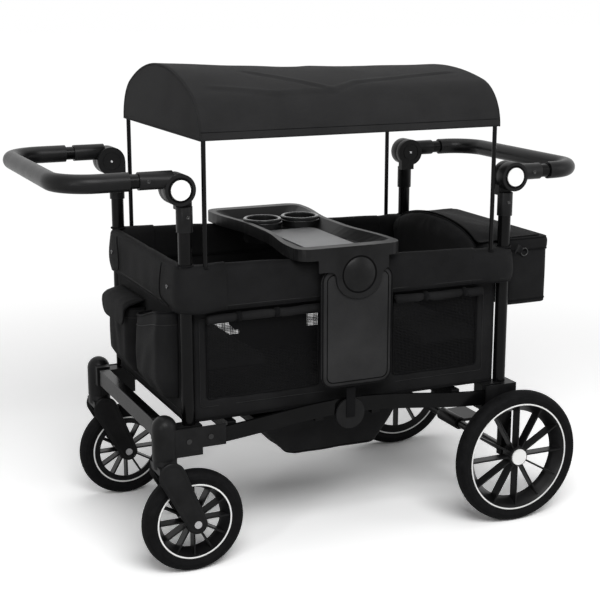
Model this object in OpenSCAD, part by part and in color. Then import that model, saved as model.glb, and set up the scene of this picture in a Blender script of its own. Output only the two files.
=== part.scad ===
// Folding stroller wagon for two riders, with a canopy, a snack tray and swivel front wheels.
// Sizes are in millimetres. X runs from the front (-X) to the rear (+X), Y runs across, Z is up.
// The origin is on the ground, under the middle of the length from handle to handle.

/* [Fold frame] */
// Distance from each end fold pin to the middle fold hub
fold_arm = 380; // [360:5:400]
// Distance of the fold hub behind the middle of the wagon
hub_x = 22; // [12:1:32]
// Height of the end fold pins
pin_z = 300; // [294:1:304]
// Height of the fold hub axis
hub_z = 312; // [308:1:316]
// Diameter of the fold pins and of the hub axle
pin_d = 12; // [8:1:14]
// Height of a side rail
rail_h = 34; // [30:1:36]
// Thickness of a side rail
rail_t = 8; // [6:1:10]
// Diameter of the hub's outer discs
hub_cap_d = 70; // [60:1:72]
// Thickness of the hub's outer discs
hub_cap_t = 5.5; // [4:0.5:6]
// Thickness of the floor boards
floor_t = 6; // [4:1:8]

/* [Posts] */
// Distance of the corner posts from the middle plane
post_y = 240; // [220:5:260]
// Diameter of a corner post
post_d = 29; // [26:1:32]
// Wall of the posts and of the handle tubes
tube_wall = 1.5; // [1:0.25:3]
// Height of the posts' feet
post_foot_z = 322; // [318:1:326]
// Distance of the front posts behind the front fold pins
front_post_back = 10; // [6:1:14]
// Distance of the rear posts behind the rear fold pins
rear_post_back = 26; // [22:1:30]

/* [Handles] */
// Height of the front handle's hinges
front_hinge_z = 836; // [800:2:860]
// Height of the rear handle's hinges
rear_hinge_z = 816; // [790:2:850]
// Distance of the front hinge axes ahead of their posts
front_hinge_out = 16; // [12:1:20]
// Distance of the rear hinge axes behind their posts
rear_hinge_out = 8; // [6:1:16]
// Diameter of a hinge
hinge_d = 66; // [60:1:70]
// Reach of the front handle's bar from its hinge axis
front_reach = 244; // [215:1:275]
// Reach of the rear handle's bar from its hinge axis
rear_reach = 188; // [186:1:220]
// Diameter of the handle tubes
handle_tube_d = 30; // [26:1:32]
// Diameter of the grips
grip_d = 39; // [36:1:42]
// Bend radius of the front handle's tube
front_bend = 80; // [50:5:80]
// Bend radius of the rear handle's tube
rear_bend = 75; // [50:5:85]
// Diameter of the hinge release buttons
button_d = 42; // [36:1:46]
// Travel of the hinge release buttons
button_travel = 4; // [3:0.5:5]

/* [Front wheels] */
// Diameter of a front wheel
front_wheel_d = 230; // [210:2:236]
// Height of a front tyre outside the pinstripe ring
front_tyre_h = 33; // [27:1:40]
// Distance of the caster axes ahead of the front fold pins
caster_ahead = 48; // [46:1:54]
// Distance of the caster axes outboard of the posts
caster_out = 10; // [6:1:12]
// Distance that a front wheel trails its caster axis
caster_trail = 60; // [50:1:70]
// Diameter of a caster housing
caster_d = 54; // [50:1:56]
// Height of a caster housing's lower edge
caster_z = 264; // [264:1:270]
// Height of a caster housing's top
caster_top_z = 358; // [350:1:366]

/* [Rear wheels] */
// Diameter of a rear wheel
rear_wheel_d = 318; // [300:2:320]
// Height of a rear tyre outside the pinstripe ring
rear_tyre_h = 32; // [28:1:41]
// Distance of the rear axle behind the rear fold pins
axle_back = 43; // [38:1:46]
// Distance of the rear wheels' middle from the middle plane
rear_wheel_y = 298; // [294:1:310]

/* [All wheels] */
// Width of a tyre
tyre_w = 40; // [34:1:42]
// Number of spokes in a wheel
spokes = 12; // [8:1:14]
// Diameter of the wheels' axles
axle_d = 12; // [8:1:14]

/* [Tub] */
// Height of the tub's lower edge
tub_z = 335; // [335:1:342]
// Height of the windows' lower edge
window_z = 378; // [365:1:400]
// Height of the windows' upper edge
window_top_z = 550; // [530:1:556]
// Thickness of the tub's side panels
panel_t = 6; // [4:1:7]
// Diameter of the rolled shades over the windows
roll_d = 21; // [16:1:22]
// Height of the collar's top at the front
collar_front_z = 676; // [664:1:684]
// Height of the collar's top at the rear
collar_rear_z = 652; // [644:1:660]
// Height of the collar's lower edge
collar_low_z = 575; // [570:1:580]
// Thickness of the collar's padding
collar_t = 6; // [4:0.5:6]
// Height of the seats' top
seat_z = 462; // [440:1:480]
// Thickness of the seat cushions
seat_t = 32; // [24:1:40]
// Depth of the seats from front to rear
seat_depth = 178; // [150:1:190]

/* [Canopy] */
// Diameter of the canopy rods
rod_d = 10; // [8:0.5:11]
// Height of the canopy's lower edge
canopy_z = 932; // [910:2:960]
// Rise of the front hoop over the canopy's lower edge
front_rise = 134; // [124:1:150]
// Rise of the rear hoop over the canopy's lower edge
rear_rise = 114; // [106:1:130]
// Radius of the hoops' shoulders
shoulder_r = 95; // [80:1:98]
// Thickness of the canopy's cloth
canopy_t = 2; // [1.5:0.25:3]

/* [Tray] */
// Length of the tray along the wagon at its two ends
tray_l = 250; // [240:2:260]
// Length of the tray along the wagon at its waist
tray_waist = 204; // [200:2:220]
// Distance of the tray's middle ahead of the fold hub
tray_ahead = 8; // [4:1:12]
// Distance of the tray's locking discs and the side pads behind the fold hub
tray_back = 10; // [6:1:14]
// Height of the tray's rim over the collar
tray_h = 26; // [22:1:30]
// Inside diameter of a cup holder
cup_d = 76; // [70:1:78]
// Depth of a cup holder
cup_depth = 48; // [30:1:60]
// Distance between the cup holders' axes
cup_gap = 98; // [94:1:104]
// Width of a side pad
pad_w = 182; // [160:2:190]
// Height of the side pads' lower edge
pad_z = 373; // [360:1:385]
// Diameter of the tray's locking discs
disc_d = 75; // [70:1:82]

/* [Bags] */
// Depth of the front pockets
pocket_depth = 48; // [40:1:56]
// Depth of the rear bag
rear_bag_depth = 118; // [80:1:120]
// Depth of the bag under the floor
under_bag_h = 106; // [80:1:120]

/* [Hidden] */
$fn = 48;

// Clearances
run_gap = 0.05;
soft_gap = 0.3;
hinge_gap = 0.4;

// Colours
black = [0.11, 0.11, 0.12];
satin = [0.06, 0.06, 0.07];
charcoal = [0.17, 0.17, 0.18];
cloth = [0.09, 0.09, 0.1];

// Fold frame, along the wagon
front_pin_x = hub_x - fold_arm;
rear_pin_x = hub_x + fold_arm;
front_post_x = front_pin_x + front_post_back;
rear_post_x = rear_pin_x + rear_post_back;
front_axis_x = front_post_x - front_hinge_out;
rear_axis_x = rear_post_x + rear_hinge_out;
rail_rise = hub_z + rail_h / 2 - pin_z;
lap_r = 30;
lap_clear = lap_r + 6;
lap_gap = 0.2;

// Fold frame, across the wagon
rail_in = post_y + post_d / 2 + 3.5;
rail_out = rail_in + rail_t;
rail_mid = (rail_in + rail_out) / 2;
block_in = post_y - 18;
block_out = rail_in - hinge_gap;
cheek_in = rail_out + hinge_gap;
cheek_t = 4;
cheek_out = cheek_in + cheek_t;
cap_in = rail_out + soft_gap;
cap_out = cap_in + hub_cap_t;

// Brackets
bracket_low_z = pin_z - 33;
bracket_step_z = pin_z - 17;
bracket_top_z = post_foot_z + 7;
front_block_end = front_post_x + 25;
front_cheek_end = front_pin_x + 84;
front_step_x = front_pin_x + 31;
second_screw = [front_pin_x + 49, pin_z + 5];
rear_cheek_end = rear_pin_x - 26;
rear_web_x = rear_pin_x + rail_h / 2 + 2;
rear_bracket_end = rear_post_x + 30;

// Cross bars and boards of the folding floor
bar_w = 20;
bar_bottom_z = pin_z;
bar_top_z = tub_z - 7;
bar_from_pin = 102;
floor_from_pin = bar_from_pin - bar_w / 2;
bar_from_hub = 70;
floor_end_gap = 8;
floor_y = post_y - post_d / 2 - 1;

// Casters and front wheels
caster_x = front_pin_x - caster_ahead;
caster_y = post_y + caster_out;
front_axle_x = caster_x + caster_trail;
front_axle_z = front_wheel_d / 2;
front_ring_d = front_wheel_d - 2 * front_tyre_h;
stem_d = 24;
fork_gap = 4;
fork_t = 8;
fork_in = tyre_w / 2 + fork_gap;
fork_out = fork_in + fork_t;
fork_top_z = caster_z - hinge_gap;
crown_z = front_wheel_d + 6;
boss_d = 44;
bolt_head_d = 17;
bolt_head_t = 4;
screw_d = 12;
screw_t = 2;
crossbar_w = 24;
crossbar_z = pin_z;
crossbar_h = 38;
socket_wall = 4;
crossbar_socket = 16;

// Rear axle and wheels
axle_x = rear_pin_x + axle_back;
axle_z = rear_wheel_d / 2;
rear_ring_d = rear_wheel_d - 2 * rear_tyre_h;
axle_tube_d = 20;
leg_w = 26;
leg_in = post_y - 4;
leg_out = post_y + 16;
rim_side = tyre_w / 2 - 4;
rim_wall = 4;
hub_d = 48;
rear_hub_in = 18;
rear_hub_out = 14;
spoke_t = 4;
pedal_half = 45;
pedal_l = 68;
cap_d = 38;
cap_t = 4;

// Handles
handle_y = post_y + 9;
front_handle_up = 21;
rear_handle_up = 8;
front_bar_x = front_axis_x - front_reach;
rear_bar_x = rear_axis_x + rear_reach;
front_bar_z = front_hinge_z + front_handle_up;
rear_bar_z = rear_hinge_z + rear_handle_up;
sleeve_d = handle_tube_d + 7;
sleeve_start = 12;
front_sleeve_end = 84;
rear_sleeve_end = 74;
tube_start = 44;
front_grip_start = 104;
rear_grip_start = 98;
hinge_in = post_y - 18;
hinge_split = post_y;
hinge_face = post_y + 28;
hinge_pin_d = 16;
socket_d = post_d + 6;
socket_low = 91;
socket_high = 38;
button_pocket = 10;
button_proud = 2;

// Canopy
rod_y = post_y + 16;
front_rod_x = front_post_x + 38;
rear_rod_x = rear_post_x - 44;
rod_foot_z = collar_rear_z - 62;
rod_socket_d = rod_d + 5;
canopy_gap = 0.6;
canopy_over = rod_d / 2 + soft_gap;
canopy_sag = 7;
arch_steps = 11;

// Tub
panel_out = post_y - 2;
panel_in = panel_out - panel_t;
tub_front_x = front_post_x + post_d / 2 + 9.5;
tub_rear_x = rear_post_x - post_d / 2 - 11;
window_front = [tub_front_x + 23, hub_x - 64];
window_rear = [hub_x + 124, tub_rear_x - 40];
mesh_t = 1.5;
panel_drop = 4;
end_panel_t = 6;
front_panel_x = front_post_x - 10;
roll_y = panel_out + roll_d / 2 + soft_gap;
roll_z = window_top_z + 6;

// Collar: a padded channel, open below, that wraps the tub's top edge and the posts
collar_mid_out = rail_in - 2;
collar_in = post_y - post_d / 2 - collar_t - 0.5;
collar_corner_out = rod_y + rod_socket_d / 2 + collar_t + 1;
collar_front_x = front_post_x - 22;
collar_rear_x = rear_post_x + 25;
collar_front_end = front_rod_x + 40;
collar_rear_end = rear_rod_x - 40;
collar_cap = 12;
collar_r = 30;
collar_taper = 22;
collar_slope = (collar_rear_z - collar_front_z) / (collar_rear_x - collar_front_x);

// Seats
seat_half = panel_in - soft_gap;
lip_gap = 8;
front_mouth_x = front_panel_x + end_panel_t + lip_gap;
rear_mouth_x = tub_rear_x - end_panel_t - lip_gap;
back_t = 26;
back_low_z = seat_z + 6;
back_front_z = collar_front_z - 20;
back_rear_z = collar_rear_z + 46;
back_half = post_y - 34;
back_arch = 66;

// Tray and side pads
tray_x = hub_x + tray_back;
dish_x = hub_x - tray_ahead;
pad_in = cap_out + 1.2;
pad_t = 12;
pad_out = pad_in + pad_t;
tab_in = pad_out + hinge_gap;
tab_t = 5;
tab_out = tab_in + tab_t;
disc_h = 9;
strap_w = 22;
strap_t = 2;
tray_floor = 6;
tray_wall = 12;
tray_slope = 26;
tab_edge = 18;
tab_right = 71;
tab_left = 97;
waist_y = 40;
flare_y = 235;
tray_corner = 34;
tray_reach = tab_out - 30;
pad_r = 45;
tray_z = collar_top(dish_x - tray_l / 2) + soft_gap;
rim_z = tray_z + tray_h;
pad_top_z = tray_z - 18;
disc_z = tray_z - 37;
tab_low_z = disc_z - 54;
mat_t = 2;
mat_gap = 3;
cup_y = 95;
cup_wall = 8;
cup_rim = 2;
cup_floor = 4;
cup_bottom_z = rim_z + cup_rim - cup_depth;

// Bags
bag_wall = 4;
// Bag under the floor, at its bottom and its top: ahead of the hub, behind it, half its width
bag_low = [100, 124, 165];
bag_top = [193, 168, 195];
near_pocket = [28 - post_y, -30];
far_pocket = [12, post_y - 64];
pocket_z = tub_z + 43;
pocket_top_z = collar_front_z - 144;
rear_bag_z = [collar_rear_z - 152, collar_rear_z + 10];
rear_bag_half = post_y - 25;
flap_t = 3;
flap_drop = 44;
flap_rise = 10;
flap_side = 5;
pocket_r = 26;

// Height of the collar's top at a place along the wagon
function collar_top(x) = collar_front_z + collar_slope * (x - collar_front_x);

// Points of an arc in a plane
function arc(c, r, a0, a1, n = 6) =
    [for (i = [0 : n]) c + r * [cos(a0 + (a1 - a0) * i / n), sin(a0 + (a1 - a0) * i / n)]];

// Outline of a rectangle with round corners
function round_rect(x0, z0, x1, z1, r, n = 6) = concat(
    arc([x1 - r, z1 - r], r, 0, 90, n), arc([x0 + r, z1 - r], r, 90, 180, n),
    arc([x0 + r, z0 + r], r, 180, 270, n), arc([x1 - r, z0 + r], r, 270, 360, n));

// Outline of a cushion about its middle, with round corners and sides drawn in between them
function cushion_outline(w, h, r, pull, n = 8) =
    [for (side = [0 : 3]) for (i = [0 : n])
        let(a = side * 90,
            long = (side % 2 == 0 ? h : w) / 2 - r,
            deep = (side % 2 == 0 ? w : h) / 2,
            t = -1 + 2 * i / n,
            bow = pull * (1 - t * t))
        [(deep - bow) * cos(a) - t * long * sin(a), (deep - bow) * sin(a) + t * long * cos(a)]];

// Half of a three-centred arch: shoulder arc, then the flatter top arc, from the side to the middle.
// The arch can grow outward from the middle line of a hoop
function top_r(rise) = (pow(rod_y - shoulder_r, 2) + rise * rise - pow(shoulder_r, 2))
    / (2 * (rise - shoulder_r));
function top_angle(rise) = asin((rod_y - shoulder_r) / (top_r(rise) - shoulder_r));
function half_arch(rise, grow) =
    let(rt = top_r(rise), phi = top_angle(rise), n = arch_steps)
    concat(arc([rod_y - shoulder_r, 0], shoulder_r + grow, 0, 90 - phi, n),
        [for (i = [1 : n]) let(a = 90 - phi + phi * i / n)
            [(rt + grow) * cos(a), rise - rt + (rt + grow) * sin(a)]]);
function full_arch(rise, grow) =
    let(h = half_arch(rise, grow))
    concat(h, [for (i = [len(h) - 2 : -1 : 0]) [-h[i][0], h[i][1]]]);

// Middle line of a rail, from 0 at its end pin to 1 at the hub
function rail_mid_z(s) = pin_z + rail_rise * (1 - cos(180 * s)) / 2;

module both_sides() {
    children();
    mirror([0, 1, 0]) children();
}

module left_side() {
    mirror([0, 1, 0]) children();
}

// A box from its lowest to its highest corner
module block(low, high) {
    translate(low) cube(high - low);
}

module rod_x(d, x0, x1, y, z) {
    translate([x0, y, z]) rotate([0, 90, 0]) cylinder(d = d, h = x1 - x0);
}

module rod_y(d, y0, y1, x, z) {
    translate([x, y0, z]) rotate([-90, 0, 0]) cylinder(d = d, h = y1 - y0);
}

module rod_z(d, z0, z1, x, y) {
    translate([x, y, z0]) cylinder(d = d, h = z1 - z0);
}

// A side-view outline (x, z), given its thickness across the wagon
module across(y0, y1) {
    translate([0, y1, 0]) rotate([90, 0, 0]) linear_extrude(y1 - y0) children();
}

// An end-view outline (y, z), given its thickness along the wagon
module along(x0, x1) {
    translate([x0, 0, 0]) rotate([90, 0, 90]) linear_extrude(x1 - x0) children();
}

// A solid through rings of points that lie one behind another; a ring that folds back on itself
// like a horseshoe has its ends closed in strips
module loft(rings, strips = false) {
    n = len(rings[0]);
    m = len(rings);
    walls = [for (j = [0 : m - 2]) for (i = [0 : n - 1])
        let(a = j * n + i, b = j * n + (i + 1) % n)
        each [[a, a + n, b], [b, a + n, b + n]]];
    top = (m - 1) * n;
    ends = strips
        ? [for (i = [0 : n / 2 - 2]) let(j = n - 1 - i) each [[i, i + 1, j], [i + 1, j - 1, j],
            [top + j, top + i + 1, top + i], [top + j, top + j - 1, top + i + 1]]]
        : [[for (i = [0 : n - 1]) i], [for (i = [n - 1 : -1 : 0]) top + i]];
    polyhedron([for (ring = rings) each ring], concat(walls, ends));
}

// A cushion with a flat back on z = 0 and a crowned face, over an outline about its middle
module pillow(outline, edge, crown, rings = 5) {
    n = len(outline);
    face = [for (k = [1 : rings]) for (p = outline)
        let(s = k / rings)
        [p[0] * s, p[1] * s, edge + (crown - edge) * sqrt(1 - pow(s, 4))]];
    back = [for (p = outline) [p[0], p[1], 0]];
    top = n * (rings + 1);
    faces = concat(
        [for (i = [0 : n - 1]) [top, (i + 1) % n, i]],
        [for (k = [0 : rings - 2]) for (i = [0 : n - 1])
            let(a = k * n + i, b = k * n + (i + 1) % n)
            each [[a, b, a + n], [b, b + n, a + n]]],
        [for (i = [0 : n - 1])
            let(a = (rings - 1) * n + i, b = (rings - 1) * n + (i + 1) % n)
            each [[a, b, a + n], [b, b + n, a + n]]],
        [[for (i = [0 : n - 1]) rings * n + i]]);
    polyhedron(concat(face, back, [[0, 0, crown]]), faces);
}

// Brackets at the front corners: caster housing, post seat, slot and pin for the folding rail
module front_bracket() {
    dome_r = caster_d / 2;
    difference() {
        union() {
            translate([caster_x, caster_y, 0]) rotate_extrude()
                polygon(concat([[0, caster_z], [dome_r, caster_z]],
                    arc([0, caster_top_z - dome_r], dome_r, 0, 90, 8)));
            block([caster_x, block_in, bracket_low_z], [front_block_end, block_out, bracket_top_z]);
            across(cheek_in, cheek_out) polygon([
                [caster_x, bracket_low_z], [front_step_x, bracket_low_z],
                [front_step_x, bracket_step_z], [front_cheek_end, bracket_step_z],
                [front_cheek_end, bracket_top_z], [caster_x, bracket_top_z]]);
            block([caster_x - crossbar_w / 2 - socket_wall, caster_y - caster_d / 2 - crossbar_socket,
                    crossbar_z - socket_wall],
                [caster_x + crossbar_w / 2 + socket_wall, caster_y,
                    crossbar_z + crossbar_h + socket_wall]);
            rod_y(pin_d, block_out - 1, cheek_in + 1, front_pin_x, pin_z);
        }
        rod_z(stem_d + 2 * run_gap, caster_z - 1, caster_top_z - 24, caster_x, caster_y);
        rod_z(post_d, post_foot_z, bracket_top_z + 1, front_post_x, post_y);
        block([caster_x - crossbar_w / 2, caster_y - caster_d / 2 - crossbar_socket - 1, crossbar_z],
            [caster_x + crossbar_w / 2, caster_y - caster_d / 2, crossbar_z + crossbar_h]);
    }
}

module front_brackets() {
    color(black) both_sides() front_bracket();
}

module front_crossbar() {
    half = caster_y - caster_d / 2;
    color(black) block([caster_x - crossbar_w / 2, -half, crossbar_z],
        [caster_x + crossbar_w / 2, half, crossbar_z + crossbar_h]);
}

// A corner post with the socket that holds a canopy rod's foot inside the collar
module post(x, rod_x_pos, axis_z) {
    difference() {
        union() {
            rod_z(post_d, post_foot_z, axis_z - socket_high - 4, x, post_y);
            rod_z(rod_socket_d, rod_foot_z - 4, rod_foot_z + 30, rod_x_pos, rod_y);
            block([min(x, rod_x_pos), post_y + 3, rod_foot_z], [max(x, rod_x_pos), post_y + 11,
                rod_foot_z + 26]);
        }
        rod_z(post_d - 2 * tube_wall, post_foot_z - 1, axis_z, x, post_y);
        rod_z(rod_d, rod_foot_z, rod_foot_z + 31, rod_x_pos, rod_y);
    }
}

module front_posts() {
    color(satin) both_sides() post(front_post_x, front_rod_x, front_hinge_z);
}

module rear_posts() {
    color(satin) both_sides() post(rear_post_x, rear_rod_x, rear_hinge_z);
}

// Fixed half of a handle hinge: socket over the post, inner disc and pivot pin
module hinge_base(post_x, axis_x, axis_z) {
    groove_d = hinge_d - 22;
    difference() {
        union() {
            rod_z(socket_d, axis_z - socket_low, axis_z - socket_high, post_x, post_y);
            block([post_x - socket_d / 2, hinge_in, axis_z - socket_high - 6],
                [post_x + socket_d / 2, hinge_split - hinge_gap, axis_z]);
            rod_y(hinge_d, hinge_in, hinge_split - hinge_gap, axis_x, axis_z);
            rod_y(hinge_pin_d, hinge_in, hinge_face - button_pocket - 1, axis_x, axis_z);
        }
        rod_z(post_d, axis_z - socket_low - 1, axis_z - socket_high - 4, post_x, post_y);
        difference() {
            rod_y(groove_d, hinge_in - 1, hinge_in + 1.5, axis_x, axis_z);
            rod_y(groove_d - 5, hinge_in - 2, hinge_in + 2, axis_x, axis_z);
        }
    }
}

module front_hinge_bases() {
    color(black) both_sides() hinge_base(front_post_x, front_axis_x, front_hinge_z);
}

module rear_hinge_bases() {
    color(black) both_sides() hinge_base(rear_post_x, rear_axis_x, rear_hinge_z);
}

// Turning half of a handle hinge: outer disc with the button's pocket, and the tube's sleeve
module hinge_arm(axis_x, axis_z, out, up, sleeve_end) {
    sleeve_z = axis_z + up;
    difference() {
        union() {
            rod_y(hinge_d, hinge_split, hinge_face, axis_x, axis_z);
            rod_x(sleeve_d, axis_x + min(out * sleeve_start, out * sleeve_end),
                axis_x + max(out * sleeve_start, out * sleeve_end), handle_y, sleeve_z);
        }
        rod_y(hinge_d + 2 * hinge_gap, handle_y - sleeve_d, hinge_split, axis_x, axis_z);
        rod_y(hinge_pin_d + 2 * run_gap, hinge_split - 1, hinge_face, axis_x, axis_z);
        rod_y(button_d + 2 * run_gap, hinge_face - button_pocket, hinge_face + 1, axis_x, axis_z);
        rod_x(handle_tube_d, axis_x + min(out * tube_start, out * (sleeve_end + 1)),
            axis_x + max(out * tube_start, out * (sleeve_end + 1)), handle_y, sleeve_z);
    }
}

module front_hinge_arms() {
    color(black) both_sides() hinge_arm(front_axis_x, front_hinge_z, -1, front_handle_up, front_sleeve_end);
}

module rear_hinge_arms() {
    color(black) both_sides() hinge_arm(rear_axis_x, rear_hinge_z, 1, rear_handle_up, rear_sleeve_end);
}

// A handle's U-shaped bar, from where it starts to the cross bar
module handle_bar(d, start_x, bar_x, z, bend) {
    out = sign(bar_x - start_x);
    bend_x = bar_x - out * bend;
    both_sides() {
        rod_x(d, min(start_x, bend_x), max(start_x, bend_x), handle_y, z);
        translate([bend_x, handle_y - bend, z]) mirror([out < 0 ? 1 : 0, 0, 0])
            rotate_extrude(angle = 90) translate([bend, 0]) circle(d = d);
    }
    rod_y(d, bend - handle_y, handle_y - bend, bar_x, z);
}

module handle_tube(start_x, bar_x, z, bend) {
    difference() {
        handle_bar(handle_tube_d, start_x, bar_x, z, bend);
        handle_bar(handle_tube_d - 2 * tube_wall, start_x - sign(bar_x - start_x), bar_x, z, bend);
    }
}

module grip(start_x, bar_x, z, bend) {
    difference() {
        handle_bar(grip_d, start_x, bar_x, z, bend);
        handle_bar(handle_tube_d, start_x - sign(bar_x - start_x), bar_x, z, bend);
    }
}

module front_handle_tube() {
    color(satin) handle_tube(front_axis_x - tube_start, front_bar_x, front_bar_z, front_bend);
}

module front_grip() {
    color(black) grip(front_axis_x - front_grip_start, front_bar_x, front_bar_z, front_bend);
}

module rear_handle_tube() {
    color(satin) handle_tube(rear_axis_x + tube_start, rear_bar_x, rear_bar_z, rear_bend);
}

module rear_grip() {
    color(black) grip(rear_axis_x + rear_grip_start, rear_bar_x, rear_bar_z, rear_bend);
}

// A round release button, which sinks into its pocket by its travel
module button(axis_x, axis_z) {
    color("white") rod_y(button_d, hinge_face - button_pocket + button_travel + hinge_gap,
        hinge_face + button_proud, axis_x, axis_z);
}

module front_right_button() {
    button(front_axis_x, front_hinge_z);
}

module front_left_button() {
    left_side() button(front_axis_x, front_hinge_z);
}

module rear_right_button() {
    button(rear_axis_x, rear_hinge_z);
}

module rear_left_button() {
    left_side() button(rear_axis_x, rear_hinge_z);
}

// A bent rod through points (y, z) in a plane across the wagon
module bent_rod(d, x, path) {
    sides = 14;
    last = len(path) - 1;
    loft([for (i = [0 : last])
        let(along_path = path[min(i + 1, last)] - path[max(i - 1, 0)], dir = along_path / norm(along_path))
        [for (k = [0 : sides - 1])
            let(a = 360 * k / sides, out = d / 2 * sin(a))
            [x + d / 2 * cos(a), path[i][0] + out * dir[1], path[i][1] - out * dir[0]]]]);
}

// A canopy hoop: two upright legs and a three-centred arch
module hoop(x, rise) {
    arch = full_arch(rise, 0);
    bent_rod(rod_d, x, concat([[rod_y, rod_foot_z]], [for (p = arch) [p[0], canopy_z + p[1]]],
        [[-rod_y, rod_foot_z]]));
}

module front_hoop() {
    color(satin) hoop(front_rod_x, front_rise);
}

module rear_hoop() {
    color(satin) hoop(rear_rod_x, rear_rise);
}

// Canopy: one curved sheet from hoop to hoop that sags a little between them, with closed ends
module canopy_cover() {
    x0 = front_rod_x - canopy_over;
    x1 = rear_rod_x + canopy_over;
    spans = 8;
    grow_in = rod_d / 2 + canopy_gap;
    grow_out = grow_in + canopy_t;
    function rise_at(s) = front_rise + (rear_rise - front_rise) * s - canopy_sag * sin(180 * s);
    function ring(s) = let(x = x0 + (x1 - x0) * s,
            inner = full_arch(rise_at(s), grow_in), outer = full_arch(rise_at(s), grow_out))
        concat([for (p = outer) [x, p[0], canopy_z + p[1]]],
            [for (i = [len(inner) - 1 : -1 : 0]) [x, inner[i][0], canopy_z + inner[i][1]]]);
    color(charcoal) {
        loft([for (i = [0 : spans]) ring(i / spans)], true);
        along(x0 - canopy_t, x0) translate([0, canopy_z])
            polygon(full_arch(rise_at(0), grow_out));
        along(x1, x1 + canopy_t) translate([0, canopy_z])
            polygon(full_arch(rise_at(1), grow_out));
    }
}

// Tub sides with their window openings
module side_panels() {
    color(cloth) both_sides() across(panel_in, panel_out) difference() {
        polygon([[tub_front_x, tub_z], [tub_rear_x, tub_z],
            [tub_rear_x, collar_top(tub_rear_x) - collar_cap - panel_drop],
            [tub_front_x, collar_top(tub_front_x) - collar_cap - panel_drop]]);
        for (w = [window_front, window_rear])
            translate([w[0], window_z]) square([w[1] - w[0], window_top_z - window_z]);
    }
}

module mesh_windows() {
    mid = (panel_in + panel_out) / 2;
    color([0.05, 0.05, 0.06, 0.5]) both_sides() for (w = [window_front, window_rear])
        block([w[0], mid - mesh_t / 2, window_z], [w[1], mid + mesh_t / 2, window_top_z]);
}

module window_rolls() {
    color(cloth) both_sides() for (w = [window_front, window_rear])
        rod_x(roll_d, w[0] - 6, w[1] + 6, roll_y, roll_z);
}

// Padded channel over a tub side, between the corners; its inner skirt is the shorter one
module side_collars() {
    edge = 5;
    steps = 4;
    skirt_in = panel_in - soft_gap;
    skirt_out = panel_out + soft_gap + 2;
    function ring(x) = let(z1 = collar_top(x), cap = z1 - collar_cap, inner_low = collar_low_z + 20)
        [for (p = concat(
            [[collar_mid_out, collar_low_z]],
            arc([collar_mid_out - edge, z1 - edge], edge, 0, 90, steps),
            arc([collar_in + edge, z1 - edge], edge, 90, 180, steps),
            [[collar_in, inner_low], [skirt_in, inner_low]],
            [for (i = [steps : -1 : 0]) [skirt_in, cap - i]],
            [for (i = [0 : steps]) [skirt_out, cap - i]],
            [[skirt_out, collar_low_z]])) [x, p[0], p[1]]];
    color(charcoal) both_sides() loft([ring(collar_front_end), ring(collar_rear_end)], true);
}

// Plan of a collar end: round outer corners that taper in to the side bands
function collar_plan(x_end, x_open, wide, narrow, r) =
    let(dir = sign(x_open - x_end), span = abs(x_open - x_end),
        half = concat(arc([r, wide - r], r, 180, 90), [[span - collar_taper, wide], [span, narrow]]))
    concat([for (p = half) [x_end + dir * p[0], p[1]]],
        [for (i = [len(half) - 1 : -1 : 0]) [x_end + dir * half[i][0], -half[i][1]]]);

// Everything inboard of a plane across the wagon, out to a half width
module mouth_plan(x, dir, half) {
    reach = 200;
    translate([dir > 0 ? x : x - reach, -half]) square([reach, 2 * half]);
}

// A collar end with its corners: padded channel, open below, with holes for post and rod
module collar_end(x_end, x_open, post_x, rod_x_pos, z1, mouth) {
    dir = sign(x_open - x_end);
    z0 = collar_low_z;
    cap_z = min(collar_top(x_open), z1) - collar_cap;
    difference() {
        translate([0, 0, z0]) linear_extrude(z1 - z0) difference() {
            polygon(collar_plan(x_end, x_open, collar_corner_out, collar_mid_out, collar_r));
            mouth_plan(mouth, dir, collar_in);
        }
        translate([0, 0, z0 - 1]) linear_extrude(cap_z - z0 + 1) difference() {
            polygon(collar_plan(x_end + dir * collar_t, x_open + dir, collar_corner_out - collar_t,
                collar_mid_out - collar_t, collar_r - collar_t));
            mouth_plan(mouth - dir * collar_t, dir, collar_in + collar_t);
        }
        both_sides() {
            rod_z(post_d + 2 * soft_gap, cap_z - 1, z1 + 1, post_x, post_y);
            rod_z(rod_d + 2 * soft_gap, cap_z - 1, z1 + 1, rod_x_pos, rod_y);
        }
    }
}

module front_collar() {
    color(charcoal) collar_end(collar_front_x, collar_front_end, front_post_x, front_rod_x,
        collar_front_z, front_mouth_x);
}

module rear_collar() {
    color(charcoal) collar_end(collar_rear_x, collar_rear_end, rear_post_x, rear_rod_x,
        collar_rear_z, rear_mouth_x);
}

// A front pocket: a rounded pouch on the end panel, open at its top
module pocket(y0, y1) {
    function plan(inset) = concat(
        [[front_panel_x, y0 + inset]],
        arc([front_panel_x - pocket_depth + pocket_r, y0 + pocket_r], pocket_r - inset, 270, 180),
        arc([front_panel_x - pocket_depth + pocket_r, y1 - pocket_r], pocket_r - inset, 180, 90),
        [[front_panel_x, y1 - inset]]);
    difference() {
        translate([0, 0, pocket_z]) linear_extrude(pocket_top_z - pocket_z) polygon(plan(0));
        translate([0, 0, pocket_z + bag_wall]) linear_extrude(pocket_top_z - pocket_z)
            polygon(plan(bag_wall));
    }
}

// Front end of the tub, between the posts, with its two pockets sewn on
module front_end_panel() {
    half = post_y - post_d / 2 - soft_gap;
    color(cloth) {
        along(front_panel_x, front_panel_x + end_panel_t) translate([-half, tub_z])
            square([2 * half, collar_top(collar_front_end) - collar_cap - panel_drop - tub_z]);
        pocket(near_pocket[0], near_pocket[1]);
        pocket(far_pocket[0], far_pocket[1]);
    }
}

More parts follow.
